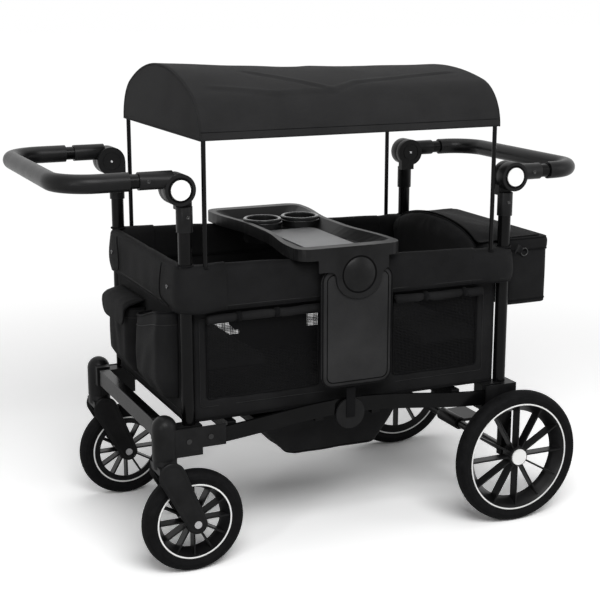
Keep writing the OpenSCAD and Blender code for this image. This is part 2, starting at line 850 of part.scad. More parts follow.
// Flap over the far pocket, with a round bead on its hinge line beside the end panel
module pocket_flap() {
    lip = front_panel_x - pocket_depth - flap_t / 2;
    low = pocket_top_z + flap_t;
    root = [front_panel_x - soft_gap - flap_t / 2, low + flap_rise + flap_t / 2];
    y0 = far_pocket[0] - flap_side;
    y1 = far_pocket[1] + flap_side;
    color(cloth) {
        across(y0, y1) polygon([
            [root[0], root[1] - flap_t / 2], [lip, low], [lip, low - flap_drop],
            [lip - flap_t, low - flap_drop], [lip - flap_t, low + flap_t], [root[0], root[1] + flap_t / 2]]);
        rod_y(flap_t, y0, y1, root[0], root[1]);
    }
}

module front_screws() {
    color("silver") both_sides() for (at = [[front_pin_x, pin_z], second_screw])
        rod_y(screw_d, cheek_out, cheek_out + screw_t, at[0], at[1]);
}

// A seat cushion that lies flat, with its crown up
module seat_cushion(x0) {
    translate([x0 + seat_depth / 2, 0, seat_z - seat_t])
        pillow(cushion_outline(seat_depth, 2 * seat_half, 18, 7), seat_t * 0.55, seat_t);
}

// A back cushion that leans on the collar's lip, facing inboard
module back_cushion(x, dir, low, high, half) {
    translate([x, 0, (low + high) / 2]) rotate([90, 0, 90 * dir])
        pillow(cushion_outline(2 * half, high - low, 30, 6), back_t * 0.45, back_t);
}

module front_seat() {
    color(cloth) {
        seat_cushion(tub_front_x + soft_gap);
        back_cushion(front_mouth_x + soft_gap, 1, back_low_z, back_front_z, back_half);
    }
}

module rear_seat() {
    color(cloth) seat_cushion(tub_rear_x - end_panel_t - soft_gap - seat_depth);
}

// Rear back cushion, whose arched top stands above the collar
module rear_backrest() {
    high = back_rear_z - back_low_z;
    low_half = back_half - 14;
    arch_z = high / 2 - back_arch;
    outline = concat(
        [[-low_half, -high / 2], [low_half, -high / 2]],
        [for (i = [0 : 20]) let(a = 180 * i / 20) [back_half * cos(a), arch_z + back_arch * sin(a)]]);
    color(charcoal) translate([rear_mouth_x - soft_gap, 0, back_low_z + high / 2])
        rotate([90, 0, -90]) pillow(outline, back_t * 0.45, back_t);
}

// Outline of a rail in side view, from its end pin to a share of its length
function rail_outline(pin_x, dir, share) = let(n = 16) concat(
    [for (i = [0 : n]) let(s = share * i / n) [pin_x + dir * fold_arm * s, rail_mid_z(s) + rail_h / 2]],
    [for (i = [n : -1 : 0]) let(s = share * i / n)
        [pin_x + dir * fold_arm * s, rail_mid_z(s) - rail_h / 2]]);

// A pair of folding rails joined by cross bars; each hub lug is half a rail thick
module rail_pair(pin_x, dir, lug_y0, lug_y1) {
    both_sides() difference() {
        union() {
            across(rail_in, rail_out) polygon(rail_outline(pin_x, dir, 1 - lap_clear / fold_arm));
            across(lug_y0, lug_y1) polygon(rail_outline(pin_x, dir, 1));
            rod_y(rail_h, rail_in, rail_out, pin_x, pin_z);
            rod_y(2 * lap_r, lug_y0, lug_y1, hub_x, hub_z);
        }
        rod_y(pin_d + 2 * run_gap, rail_in - 1, rail_out + 1, pin_x, pin_z);
        rod_y(pin_d + 2 * run_gap, rail_in - 1, rail_out + 1, hub_x, hub_z);
    }
    for (x = [pin_x + dir * bar_from_pin, hub_x - dir * bar_from_hub])
        block([x - bar_w / 2, -rail_in, bar_bottom_z], [x + bar_w / 2, rail_in, bar_top_z]);
}

module front_rails() {
    color(black) rail_pair(front_pin_x, 1, rail_in, rail_mid - lap_gap);
}

module rear_rails() {
    color(black) rail_pair(rear_pin_x, -1, rail_mid + lap_gap, rail_out);
}

module front_floor_board() {
    color(cloth) block([front_pin_x + floor_from_pin, -floor_y, bar_top_z],
        [hub_x - floor_end_gap, floor_y, bar_top_z + floor_t]);
}

module rear_floor_board() {
    color(cloth) block([hub_x + floor_end_gap, -floor_y, bar_top_z],
        [rear_pin_x - floor_from_pin, floor_y, bar_top_z + floor_t]);
}

// Brackets at the rear corners: post seat, slot and pin for the folding rail
module rear_brackets() {
    color(black) both_sides() difference() {
        union() {
            block([rear_pin_x - 30, block_in, bracket_low_z], [rear_bracket_end, block_out, bracket_top_z]);
            block([rear_web_x, block_in, bracket_low_z], [rear_bracket_end, cheek_out, bracket_top_z]);
            block([rear_cheek_end, cheek_in, bracket_step_z], [rear_bracket_end, cheek_out, bracket_top_z]);
            rod_y(pin_d, block_out - 1, cheek_in + 1, rear_pin_x, pin_z);
        }
        rod_z(post_d, post_foot_z, bracket_top_z + 1, rear_post_x, post_y);
    }
}

module rear_end_panel() {
    color(cloth) along(tub_rear_x - end_panel_t, tub_rear_x) translate([-seat_half, tub_z])
        square([2 * seat_half, collar_rear_z - collar_cap - panel_drop - tub_z]);
}

// Storage bag behind the rear collar, with a flat lid laid on its top
module rear_bag() {
    x0 = collar_rear_x + soft_gap;
    x1 = x0 + rear_bag_depth;
    low = rear_bag_z[0];
    brim = rear_bag_z[1] - bag_wall;
    color(cloth) {
        difference() {
            block([x0, -rear_bag_half, low], [x1, rear_bag_half, brim - soft_gap]);
            block([x0 + bag_wall, bag_wall - rear_bag_half, low + bag_wall],
                [x1 - bag_wall, rear_bag_half - bag_wall, brim + 1]);
        }
        block([x0, -rear_bag_half, brim], [x1, rear_bag_half, rear_bag_z[1]]);
    }
}

// Rear axle: a tube between the wheels, its stub ends, and the legs down from the brackets
module rear_axle() {
    stub = rear_wheel_y + rear_hub_out - 2;
    shoulder = rear_wheel_y - rear_hub_in - 0.5;
    color(satin) {
        rod_y(axle_d, -stub, stub, axle_x, axle_z);
        rod_y(axle_tube_d, -shoulder, shoulder, axle_x, axle_z);
        both_sides() block([axle_x - leg_w / 2, leg_in, axle_z - leg_w / 2],
            [axle_x + leg_w / 2, leg_out, bracket_low_z]);
    }
}

// Foot pedal of the parking brake, which turns on the axle tube
module brake_pedal() {
    color(black) difference() {
        union() {
            rod_y(axle_tube_d + 12, -pedal_half, pedal_half, axle_x, axle_z);
            block([axle_x, -pedal_half, axle_z + 3], [axle_x + pedal_l, pedal_half, axle_z + 11]);
        }
        rod_y(axle_tube_d + 2 * run_gap, -pedal_half - 1, pedal_half + 1, axle_x, axle_z);
    }
}

// Axle through the fold hubs, with the outer disc on each side
module hub_axle() {
    color(black) {
        rod_y(pin_d, -cap_out, cap_out, hub_x, hub_z);
        both_sides() rod_y(hub_cap_d, cap_in, cap_out, hub_x, hub_z);
    }
}

// Bag under the floor: a tapered trough, open at its top
module under_bag() {
    top = bar_bottom_z - soft_gap;
    low = top - under_bag_h;
    function ring(size, wall, z) = let(x0 = hub_x - size[0] + wall, x1 = hub_x + size[1] - wall,
            half = size[2] - wall)
        [[x0, -half, z], [x1, -half, z], [x1, half, z], [x0, half, z]];
    color(cloth) difference() {
        loft([ring(bag_low, 0, low), ring(bag_top, 0, top)]);
        loft([ring(bag_low, bag_wall, low + bag_wall), ring(bag_top, bag_wall, top + 1)]);
    }
}

// Outline of a tray tab in side view: a plate from the rim down to a U round the locking disc
function tab_outline() = let(u = disc_d / 2 + tab_edge, fillet = tab_right - u, mid_z = disc_z - 6)
    [for (p = concat([[tab_right, rim_z - 8]],
        arc([u + fillet, mid_z], fillet, 90, 180),
        [for (i = [1 : 11]) let(a = -180 * i / 12) [u * cos(a), mid_z + (mid_z - tab_low_z) * sin(a)]],
        arc([-u - fillet, mid_z], fillet, 0, 90),
        [[-tab_left, mid_z + fillet], [-tab_left, rim_z - 8]])) [tray_x + p[0], p[1]]];

// Half the tray's length along the wagon, at a place across it
function tray_half(y) = tray_waist / 2 + (tray_l - tray_waist) / 4
    * (1 - cos(180 * max(0, min(1, (abs(y) - waist_y) / (flare_y - waist_y)))));

// Outline of the tray in plan: two wide ends with round corners, and a waist between them
function tray_plan(inset, reach, r) =
    let(end = reach - r, x_end = tray_half(end) - inset, n = 10,
        side = concat(arc([x_end - r, -end], r, -90, 0),
            [for (i = [1 - n : n - 1]) [tray_half(end * i / n) - inset, end * i / n]],
            arc([x_end - r, end], r, 0, 90)),
        last = len(side) - 1)
    [for (p = concat(side, [for (i = [0 : last]) [-side[last - i][0], side[last - i][1]]]))
        [dish_x + p[0], p[1]]];

// Tray across the tub: a shallow dish, two cup holders and a tab down over each side pad
module tray() {
    color(black) difference() {
        union() {
            translate([0, 0, tray_z]) linear_extrude(tray_h) polygon(tray_plan(0, tab_out, tray_corner));
            both_sides() across(tab_in, tab_out) polygon(tab_outline());
            for (side = [-1, 1]) rod_z(cup_d + 2 * cup_wall, cup_bottom_z - cup_floor, rim_z + cup_rim,
                dish_x + side * cup_gap / 2, cup_y);
        }
        difference() {
            loft([for (in_z = [[tray_slope, tray_z + tray_floor], [0, rim_z], [0, rim_z + 1]])
                [for (p = tray_plan(tray_wall + in_z[0], tray_reach - in_z[0], tray_corner - tray_wall))
                    [p[0], p[1], in_z[1]]]]);
            for (side = [-1, 1]) rod_z(cup_d + 2 * cup_wall, tray_z, rim_z + cup_rim + 1,
                dish_x + side * cup_gap / 2, cup_y);
        }
        for (side = [-1, 1]) rod_z(cup_d, cup_bottom_z, rim_z + cup_rim + 1,
            dish_x + side * cup_gap / 2, cup_y);
    }
}

module tray_mat() {
    half = tray_waist / 2 - tray_wall - tray_slope - mat_gap;
    floor_z = tray_z + tray_floor;
    color([0.57, 0.57, 0.58]) translate([0, 0, floor_z]) linear_extrude(mat_t) polygon(
        round_rect(dish_x - half, tray_slope + mat_gap - tray_reach, dish_x + half,
            cup_y - cup_d / 2 - cup_wall - 6, 18));
}

// Domed locking discs on the tray's tabs
module tray_discs() {
    r = disc_d / 2;
    dome = (r * r + disc_h * disc_h) / (2 * disc_h);
    color(charcoal) both_sides() translate([tray_x, tab_out, disc_z]) rotate([-90, 0, 0])
        rotate_extrude() polygon(concat([[0, 0]],
            [for (i = [0 : 8]) let(x = r * (1 - i / 8)) [x, sqrt(dome * dome - x * x) - dome + disc_h]]));
}

// Padded flaps on the tub's sides, each with a strap down to the fold hub
module side_pads() {
    high = pad_top_z - pad_z;
    color(charcoal) both_sides() {
        translate([tray_x, -pad_in, pad_z + high / 2]) rotate([90, 0, 0])
            pillow(round_rect(-pad_w / 2, -high / 2, pad_w / 2, high / 2, pad_r, 7), pad_t * 0.55, pad_t);
        block([hub_x - strap_w / 2, cap_out + soft_gap, hub_z - 10],
            [hub_x + strap_w / 2, cap_out + soft_gap + strap_t, pad_z - soft_gap]);
    }
}

// Swivel fork of the right front wheel: stem, crown and two blades down to the axle
module fork() {
    low = [front_axle_x, front_axle_z];
    high = [caster_x + 2, crown_z + 2];
    turn = atan2(low[1] - high[1], low[0] - high[0]);
    blade = concat(arc(high, 22, turn + 90, turn + 270, 8), arc(low, boss_d / 2, turn - 90, turn + 90, 8));
    color(black) difference() {
        union() {
            rod_z(stem_d, crown_z, caster_top_z - 26, caster_x, caster_y);
            rod_z(caster_d - 2, crown_z + 8, fork_top_z, caster_x, caster_y);
            block([caster_x - 22, caster_y - fork_out, crown_z], [caster_x + 24, caster_y + fork_out,
                crown_z + 16]);
            for (y = [caster_y - fork_out, caster_y + fork_in]) across(y, y + fork_t) polygon(blade);
        }
        rod_y(axle_d, caster_y - fork_out - 1, caster_y + fork_out + 1, front_axle_x, front_axle_z);
    }
}

module right_fork() {
    fork();
}

module left_fork() {
    left_side() fork();
}

module axle_bolt() {
    color("silver") {
        rod_y(axle_d, caster_y - fork_out, caster_y + fork_out, front_axle_x, front_axle_z);
        for (y = [caster_y - fork_out - bolt_head_t, caster_y + fork_out])
            rod_y(bolt_head_d, y, y + bolt_head_t, front_axle_x, front_axle_z);
    }
}

module right_axle_bolt() {
    axle_bolt();
}

module left_axle_bolt() {
    left_side() axle_bolt();
}

// Puts a wheel that is drawn about Z, outboard up, on its axle on the right side
module on_axle(x, y, z) {
    translate([x, y, z]) rotate([-90, 0, 0]) children();
}

// A foam tyre, round over the tread, on its rim's seat
module tyre(d, ring_d) {
    seat_r = ring_d / 2 + rim_wall;
    side_r = (seat_r + d / 2) / 2 - 3;
    color(satin) rotate_extrude($fn = 72) polygon(concat([[seat_r, -rim_side]],
        [for (i = [0 : 10]) let(a = -90 + 18 * i)
            [side_r + (d / 2 - side_r) * pow(abs(cos(a)), 0.7), tyre_w / 2 * sin(a)]],
        [[seat_r, rim_side]]));
}

// A dished rim with flat vane spokes, deeper along the axle than they are thick
module rim(ring_d, hub_low, hub_high) {
    ring_r = ring_d / 2;
    dish = ring_r * 0.17;
    color(black) difference() {
        union() {
            rotate_extrude($fn = 72) polygon([[ring_r + rim_wall, -rim_side], [ring_r + rim_wall, rim_side],
                [ring_r, rim_side], [ring_r - dish, -rim_side]]);
            translate([0, 0, -hub_low]) cylinder(d = hub_d, h = hub_low + hub_high);
            for (i = [0 : spokes - 1]) rotate([0, 0, 360 * i / spokes])
                block([hub_d / 2 - 3, -spoke_t / 2, 2 - rim_side], [ring_r - 1, spoke_t / 2, rim_side - 6]);
        }
        translate([0, 0, -hub_low - 1]) cylinder(d = axle_d + 2 * run_gap, h = hub_low + hub_high + 2);
    }
}

module front_tyre() {
    on_axle(front_axle_x, caster_y, front_axle_z) tyre(front_wheel_d, front_ring_d);
}

module front_rim() {
    on_axle(front_axle_x, caster_y, front_axle_z) rim(front_ring_d, fork_in - hinge_gap,
        fork_in - hinge_gap);
}

module rear_tyre() {
    on_axle(axle_x, rear_wheel_y, axle_z) tyre(rear_wheel_d, rear_ring_d);
}

module rear_rim() {
    on_axle(axle_x, rear_wheel_y, axle_z) rim(rear_ring_d, rear_hub_in, rear_hub_out);
}

module rear_cap() {
    color("white") on_axle(axle_x, rear_wheel_y, axle_z) translate([0, 0, rear_hub_out])
        cylinder(d = cap_d, h = cap_t);
}

module front_right_tyre() {
    front_tyre();
}

module front_left_tyre() {
    left_side() front_tyre();
}

module front_right_rim() {
    front_rim();
}

module front_left_rim() {
    left_side() front_rim();
}

module rear_right_tyre() {
    rear_tyre();
}

module rear_left_tyre() {
    left_side() rear_tyre();
}

module rear_right_rim() {
    rear_rim();
}

module rear_left_rim() {
    left_side() rear_rim();
}

module rear_right_cap() {
    rear_cap();
}

module rear_left_cap() {
    left_side() rear_cap();
}

front_brackets();
front_crossbar();
front_posts();
front_hinge_bases();
front_hoop();
front_end_panel();
front_seat();
front_collar();
front_screws();
side_panels();
mesh_windows();
side_collars();
window_rolls();
canopy_cover();
pocket_flap();
front_rails();
front_floor_board();
rear_rails();
rear_floor_board();
rear_brackets();
rear_posts();
rear_hinge_bases();
rear_hoop();
rear_end_panel();
rear_bag();
rear_seat();
rear_backrest();
rear_collar();
rear_axle();
brake_pedal();
hub_axle();
under_bag();
tray();
tray_mat();
tray_discs();
side_pads();
front_handle_tube();
front_grip();
front_hinge_arms();
rear_handle_tube();
rear_grip();
rear_hinge_arms();
front_left_button();
front_right_button();
rear_left_button();
rear_right_button();
left_fork();
left_axle_bolt();
right_fork();
right_axle_bolt();
front_left_tyre();
front_left_rim();
front_right_tyre();
front_right_rim();
rear_left_tyre();
rear_left_rim();
rear_left_cap();
rear_right_tyre();
rear_right_rim();
rear_right_cap();
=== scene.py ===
import math

import bmesh
import bpy
import numpy as np
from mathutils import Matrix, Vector


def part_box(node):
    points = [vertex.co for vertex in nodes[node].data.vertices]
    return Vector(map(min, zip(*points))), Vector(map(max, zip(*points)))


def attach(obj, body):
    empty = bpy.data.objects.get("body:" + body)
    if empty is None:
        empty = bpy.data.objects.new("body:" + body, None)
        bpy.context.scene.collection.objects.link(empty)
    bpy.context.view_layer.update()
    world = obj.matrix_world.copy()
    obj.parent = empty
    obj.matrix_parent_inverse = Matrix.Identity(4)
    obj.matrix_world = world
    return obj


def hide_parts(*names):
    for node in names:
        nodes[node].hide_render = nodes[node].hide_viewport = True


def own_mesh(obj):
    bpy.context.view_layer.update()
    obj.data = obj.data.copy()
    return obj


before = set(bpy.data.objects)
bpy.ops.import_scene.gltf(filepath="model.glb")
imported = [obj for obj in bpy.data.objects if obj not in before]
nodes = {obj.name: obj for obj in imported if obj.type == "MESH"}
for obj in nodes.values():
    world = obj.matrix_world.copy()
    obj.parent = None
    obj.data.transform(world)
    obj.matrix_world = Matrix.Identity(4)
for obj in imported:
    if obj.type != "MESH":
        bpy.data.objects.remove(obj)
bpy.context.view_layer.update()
scene = bpy.context.scene
MM = 0.001
SIDES = ((-1, "left"), (1, "right"))


# Meshes: lengths are in millimetres up to grid(), which makes metres of them

def smooth(mesh):
    mesh.polygons.foreach_set("use_smooth", [True] * len(mesh.polygons))
    mesh.update()


def points(x, y, z):
    """Points from coordinates that are numbers or arrays."""
    return np.stack(np.broadcast_arrays(x, y, z), -1).astype(float)


def grid(name, pts, wrap_u=False, wrap_v=False, keep=None, ends=False):
    """An object from a grid of points, open or closed each way; ends closes its first and last row."""
    pts = np.asarray(pts, float)
    nu, nv = pts.shape[:2]
    verts, faces = list(pts.reshape(-1, 3)), []
    across = range(nv if wrap_v else nv - 1)
    for i in range(nu if wrap_u else nu - 1):
        a, b = i * nv, (i + 1) % nu * nv
        for j in across:
            if keep is None or keep[i, j]:
                k = (j + 1) % nv
                faces.append((a + j, a + k, b + k, b + j))
    for row in (0, nu - 1) if ends else ():
        verts.append(pts[row].mean(0))
        m = len(verts) - 1
        for j in across:
            a, b = row * nv + j, row * nv + (j + 1) % nv
            faces.append((m, b, a) if row == 0 else (m, a, b))
    mesh = bpy.data.meshes.new(name)
    mesh.from_pydata([tuple(float(c) * MM for c in v) for v in verts], [], faces)
    smooth(mesh)
    ob = bpy.data.objects.new(name, mesh)
    scene.collection.objects.link(ob)
    return ob


def clean(ob, fill=False):
    """Merges doubles, drops loose points and turns faces outward; fill also closes open ends."""
    bm = bmesh.new()
    bm.from_mesh(ob.data)
    bmesh.ops.remove_doubles(bm, verts=bm.verts, dist=0.00005)
    bmesh.ops.dissolve_degenerate(bm, edges=bm.edges, dist=1e-6)
    bmesh.ops.delete(bm, geom=[v for v in bm.verts if not v.link_faces], context="VERTS")
    if fill:
        bmesh.ops.holes_fill(bm, edges=bm.edges, sides=400)
    bmesh.ops.recalc_face_normals(bm, faces=bm.faces)
    bm.to_mesh(ob.data)
    bm.free()
    smooth(ob.data)
    return ob


def applied(ob):
    """Bakes an object's modifiers into its mesh."""
    bpy.context.view_layer.update()
    deps = bpy.context.evaluated_depsgraph_get()
    mesh = bpy.data.meshes.new_from_object(ob.evaluated_get(deps))
    old = ob.data
    ob.modifiers.clear()
    ob.data = mesh
    bpy.data.meshes.remove(old)
    mesh.name = ob.name
    smooth(mesh)
    return ob


def thicken(ob, thick, offset=-1.0):
    """Gives a sheet its thickness: inward, or both ways with an offset of 0."""
    m = ob.modifiers.new("solid", "SOLIDIFY")
    m.thickness, m.offset, m.use_even_offset = thick * MM, offset, False
    return applied(ob)


def circle(n, r):
    a = np.linspace(0, 2 * math.pi, n, endpoint=False)
    return r * np.cos(a), r * np.sin(a)


def unit(v):
    return v / (np.linalg.norm(v, axis=-1, keepdims=True) + 1e-12)


def tube(name, path, r, sides=8, closed=False):
    """A round bead, such as piping or a hem, along a path."""
    p = np.asarray(path, float)
    t = unit(np.roll(p, -1, 0) - np.roll(p, 1, 0) if closed else np.gradient(p, axis=0))
    n = np.array([0, 0, 1.0]) if abs(t[0][2]) < 0.9 else np.array([1.0, 0, 0])
    c, s = (q[:, None] for q in circle(sides, r))
    rows = []
    for here, way in zip(p, t):
        n = unit(n - way * (n @ way))
        rows.append(here + c * n + s * np.cross(way, n))
    return grid(name, rows, wrap_u=closed, wrap_v=True, ends=not closed)


def webbing(name, path, across, width, thick):
    """A flat strap along a path, with rounded edges; across is its width's direction."""
    p, across = np.asarray(path, float), unit(np.asarray(across, float))
    up = unit(np.cross(np.gradient(p, axis=0), across))
    h, w = thick / 2, width / 2
    half = [(w - h, -h), (w - 0.3 * h, -0.7 * h), (w, 0), (w - 0.3 * h, 0.7 * h), (w - h, h)]
    section = half + [(-a, -b) for a, b in half]
    return grid(name, np.stack([p + a * across + b * up for a, b in section], 1), wrap_v=True, ends=True)


def resample(path, n, closed=False):
    """n points evenly spaced along a path."""
    p = np.asarray(path, float)
    if closed:
        p = np.vstack([p, p[:1]])
    d = np.r_[0, np.cumsum(np.linalg.norm(np.diff(p, axis=0), axis=1))]
    at = np.linspace(0, d[-1], n, endpoint=not closed)
    return np.stack([np.interp(at, d, p[:, k]) for k in range(p.shape[1])], 1)


def arc(cx, cy, r, a0, a1, n=8):
    a = np.radians(np.linspace(a0, a1, n + 1))
    return np.stack([cx + r * np.cos(a), cy + r * np.sin(a)], 1)


def round_rect(x0, y0, x1, y1, r, n=8):
    return np.vstack([arc(x1 - r, y0 + r, r, -90, 0, n), arc(x1 - r, y1 - r, r, 0, 90, n),
                      arc(x0 + r, y1 - r, r, 90, 180, n), arc(x0 + r, y0 + r, r, 180, 270, n)])


WAVES = 7


def ripple(a, b, seed, low, high):
    """Soft even wrinkles, about -1 to 1, from waves between two lengths."""
    rng = np.random.RandomState(seed)
    out = np.zeros(np.broadcast(a, b).shape)
    for _ in range(WAVES):
        length = low * (high / low) ** rng.rand()
        turn = rng.rand() * math.pi
        out = out + np.sin(2 * math.pi * (a * math.cos(turn) + b * math.sin(turn)) / length + rng.rand() * 6.283)
    return out / WAVES ** 0.5 / 1.4


def smooth_step(x, a, b):
    t = np.clip((np.asarray(x, float) - a) / (b - a), 0, 1)
    return t * t * (3 - 2 * t)


def coords(mesh):
    co = np.zeros(len(mesh.vertices) * 3)
    mesh.vertices.foreach_get("co", co)
    return co.reshape(-1, 3)


SIM_FRAMES = 20


def puffed(ob, voxel, cap, held):
    """Swells a closed form like stuffed cloth; cap limits each point's move, and held(co) is 0 where it has none."""
    m = ob.modifiers.new("remesh", "REMESH")
    m.mode, m.voxel_size = "VOXEL", voxel * MM
    applied(ob)
    start = coords(ob.data)
    sim = ob.modifiers.new("cloth", "CLOTH")
    s = sim.settings
    s.quality, s.mass = 4, 0.3
    s.tension_stiffness = s.compression_stiffness = 12
    s.shear_stiffness, s.bending_stiffness = 4, 0.3
    s.use_pressure, s.uniform_pressure_force = True, 4.0
    s.effector_weights.gravity = 0
    sim.point_cache.frame_start, sim.point_cache.frame_end = 1, SIM_FRAMES
    for f in range(1, SIM_FRAMES + 1):
        scene.frame_set(f)
    swollen = ob.evaluated_get(bpy.context.evaluated_depsgraph_get())
    move = coords(swollen.to_mesh()) - start
    swollen.to_mesh_clear()
    ob.modifiers.remove(sim)
    scene.frame_set(1)
    move *= np.minimum(1, cap * MM / (np.linalg.norm(move, axis=1) + 1e-9))[:, None]
    move *= held(start / MM)[:, None]
    ob.data.vertices.foreach_set("co", (start + move).ravel())
    ob.data.update()


def outline_of(ob, u, v):
    """A piece's outline seen along the third axis: a closed path through its widest points."""
    co = coords(ob.data) / MM
    rel = (co - (co.min(0) + co.max(0)) / 2) / ((co.max(0) - co.min(0)) / 2)
    angle, reach = np.arctan2(rel[:, v], rel[:, u]), np.hypot(rel[:, v], rel[:, u])
    path, step = [], 2 * math.pi / 120
    for a in -math.pi + np.arange(120) * step:
        near = np.abs((angle - a + math.pi) % (2 * math.pi) - math.pi) < step
        if near.any():
            path.append(co[np.flatnonzero(near)[np.argsort(-reach[near])[:4]]].mean(0))
    path = np.array(path)
    for _ in range(3):
        path = (np.roll(path, 1, 0) + 2 * path + np.roll(path, -1, 0)) / 4
    w = 3 - u - v
    path[:, w] = np.median(path[:, w])
    return path


# Materials

def plug(nt, node, inputs):
    """Sets a node's inputs, each to a value or from another node's output."""
    for k, v in inputs.items():
        if isinstance(v, bpy.types.NodeSocket):
            nt.links.new(v, node.inputs[k])
        else:
            node.inputs[k].default_value = v
    return node


def put(nt, kind, inputs=None, **settings):
    node = nt.nodes.new("ShaderNode" + kind)
    for k, v in settings.items():
        setattr(node, k, v)
    return plug(nt, node, inputs or {})


def material(name):
    """A new material, with its node tree, its main shader and its object coordinates."""
    m = bpy.data.materials.new(name)
    m.use_nodes = True
    nt = m.node_tree
    return m, nt, nt.nodes["Principled BSDF"], put(nt, "TexCoord").outputs["Object"]


def ramp(nt, factor, low, high, c0, c1):
    r = put(nt, "ValToRGB", {0: factor})
    for k, at, colour in ((0, low, c0), (1, high, c1)):
        r.color_ramp.elements[k].position = at
        r.color_ramp.elements[k].color = (*colour, 1)
    return r.outputs[0]


def ranged(nt, factor, low, high):
    return put(nt, "MapRange", {"Value": factor, "To Min": low, "To Max": high}).outputs[0]


def stepped(nt, factor, low, high):
    return put(nt, "MapRange", {"Value": factor, "From Min": low, "From Max": high},
               interpolation_type="SMOOTHSTEP").outputs[0]


def maths(nt, op, *values):
    return put(nt, "Math", dict(enumerate(values)), operation=op).outputs[0]


def waves(nt, where, pitch, direction):
    """Even ridges across one axis."""
    return put(nt, "TexWave", {"Vector": where, "Scale": 2 * math.pi / (20 * pitch * MM)},
               wave_type="BANDS", bands_direction=direction).outputs["Fac"]


def noise(nt, where, scale, detail=3.0, rough=0.5):
    return put(nt, "TexNoise", {"Vector": where, "Scale": scale, "Detail": detail, "Roughness": rough}).outputs["Fac"]


def bump(nt, bsdf, height, distance, strength, after=None):
    b = put(nt, "Bump", {"Strength": strength, "Distance": distance * MM, "Height": height})
    if after is not None:
        nt.links.new(after, b.inputs["Normal"])
    nt.links.new(b.outputs[0], bsdf.inputs["Normal"])
    return b.outputs[0]


def cloth(name, dark, light, pitch=1.1, weave=0.16, crumple=1.2, sheen=0.015):
    """Woven cloth: crossed threads, mottled colour, soft crumples and a slight sheen."""
    m, nt, bsdf, where = material(name)
    threads = maths(nt, "ADD", waves(nt, where, pitch, "X"), waves(nt, where, pitch, "Y"))
    threads = maths(nt, "ADD", threads, waves(nt, where, pitch, "Z"))
    mottle, fibre = noise(nt, where, 9.0, 4.0, 0.6), noise(nt, where, 700.0, 2.0, 0.7)
    tone = maths(nt, "ADD", maths(nt, "MULTIPLY", mottle, 0.6), maths(nt, "MULTIPLY", fibre, 0.4))
    plug(nt, bsdf, {"Base Color": ramp(nt, tone, 0.35, 0.65, dark, light),
                    "Roughness": ranged(nt, fibre, 0.58, 0.76),
                    "Sheen Weight": sheen, "Sheen Roughness": 0.45, "Specular IOR Level": 0.035})
    soft = bump(nt, bsdf, noise(nt, where, 16.0, 2.0, 0.45), crumple * 3, 0.35)
    bump(nt, bsdf, threads, weave, 0.6, soft)
    return m


def plastic(name, dark, light, rough=0.38, grain=0.05, coat=0.0, scale=900.0, shine=0.28):
    """Moulded plastic with a fine grain and faint worn patches."""
    m, nt, bsdf, where = material(name)
    worn = noise(nt, where, 22.0, 5.0, 0.6)
    plug(nt, bsdf, {"Base Color": ramp(nt, worn, 0.35, 0.7, dark, light),
                    "Roughness": ranged(nt, worn, rough - 0.05, rough + 0.08),
                    "Specular IOR Level": shine, "Coat Weight": coat, "Coat Roughness": 0.22})
    bump(nt, bsdf, noise(nt, where, scale, 2.0, 0.5), grain, 0.5)
    return m


def metal(name, colour, rough):
    m, nt, bsdf, where = material(name)
    fine = noise(nt, where, 420.0, 3.0, 0.6)
    plug(nt, bsdf, {"Base Color": ramp(nt, fine, 0.3, 0.7, tuple(c * 0.82 for c in colour), colour),
                    "Metallic": 1.0, "Roughness": ranged(nt, fine, rough - 0.06, rough + 0.08)})
    return m


TREAD_BLOCKS = 96


def rubber(name, centre):
    """Foam tyre on the ground: fine tread blocks round the wheel, and dust."""
    m, nt, bsdf, where = material(name)
    turn = put(nt, "Mapping", {"Vector": where, "Location": tuple(c * MM for c in centre),
                               "Rotation": (math.pi / 2, 0, 0)}, vector_type="TEXTURE").outputs[0]
    angle = put(nt, "TexGradient", {"Vector": turn}, gradient_type="RADIAL").outputs["Fac"]
    blocks = maths(nt, "SINE", maths(nt, "MULTIPLY", angle, 2 * math.pi * TREAD_BLOCKS))
    part = put(nt, "SeparateXYZ", {0: turn}).outputs
    reach = maths(nt, "SQRT", maths(nt, "ADD", maths(nt, "POWER", part[0], 2.0), maths(nt, "POWER", part[1], 2.0)))
    on_tread = stepped(nt, reach, (centre[2] - 9) * MM, (centre[2] - 4) * MM)
    grooves = maths(nt, "MULTIPLY", on_tread, maths(nt, "GREATER_THAN", blocks, 0.55))
    dust = noise(nt, where, 60.0, 5.0, 0.65)
    plug(nt, bsdf, {"Base Color": ramp(nt, dust, 0.35, 0.75, (0.0036, 0.0036, 0.0039), (0.0085, 0.0085, 0.009)),
                    "Roughness": ranged(nt, dust, 0.62, 0.82), "Specular IOR Level": 0.07})
    fine = bump(nt, bsdf, noise(nt, where, 600.0, 2.0), 0.12, 0.5)
    bump(nt, bsdf, maths(nt, "SUBTRACT", 1.0, grooves), 0.9, 0.8, fine)
    return m


def netting(name, pitch, thread):
    """See-through window mesh: crossed threads, drawn above a height of their waves, with holes between them."""
    m, nt, bsdf, where = material(name)
    height = maths(nt, "MAXIMUM", waves(nt, where, pitch, "X"), waves(nt, where, pitch, "Z"))
    tone = ramp(nt, noise(nt, where, 500.0), 0.3, 0.7, (0.0032, 0.0032, 0.0035), (0.007, 0.007, 0.0075))
    plug(nt, bsdf, {"Base Color": tone, "Alpha": maths(nt, "GREATER_THAN", height, thread),
                    "Roughness": 0.6, "Specular IOR Level": 0.08})
    bump(nt, bsdf, height, 0.3, 0.6)
    return m


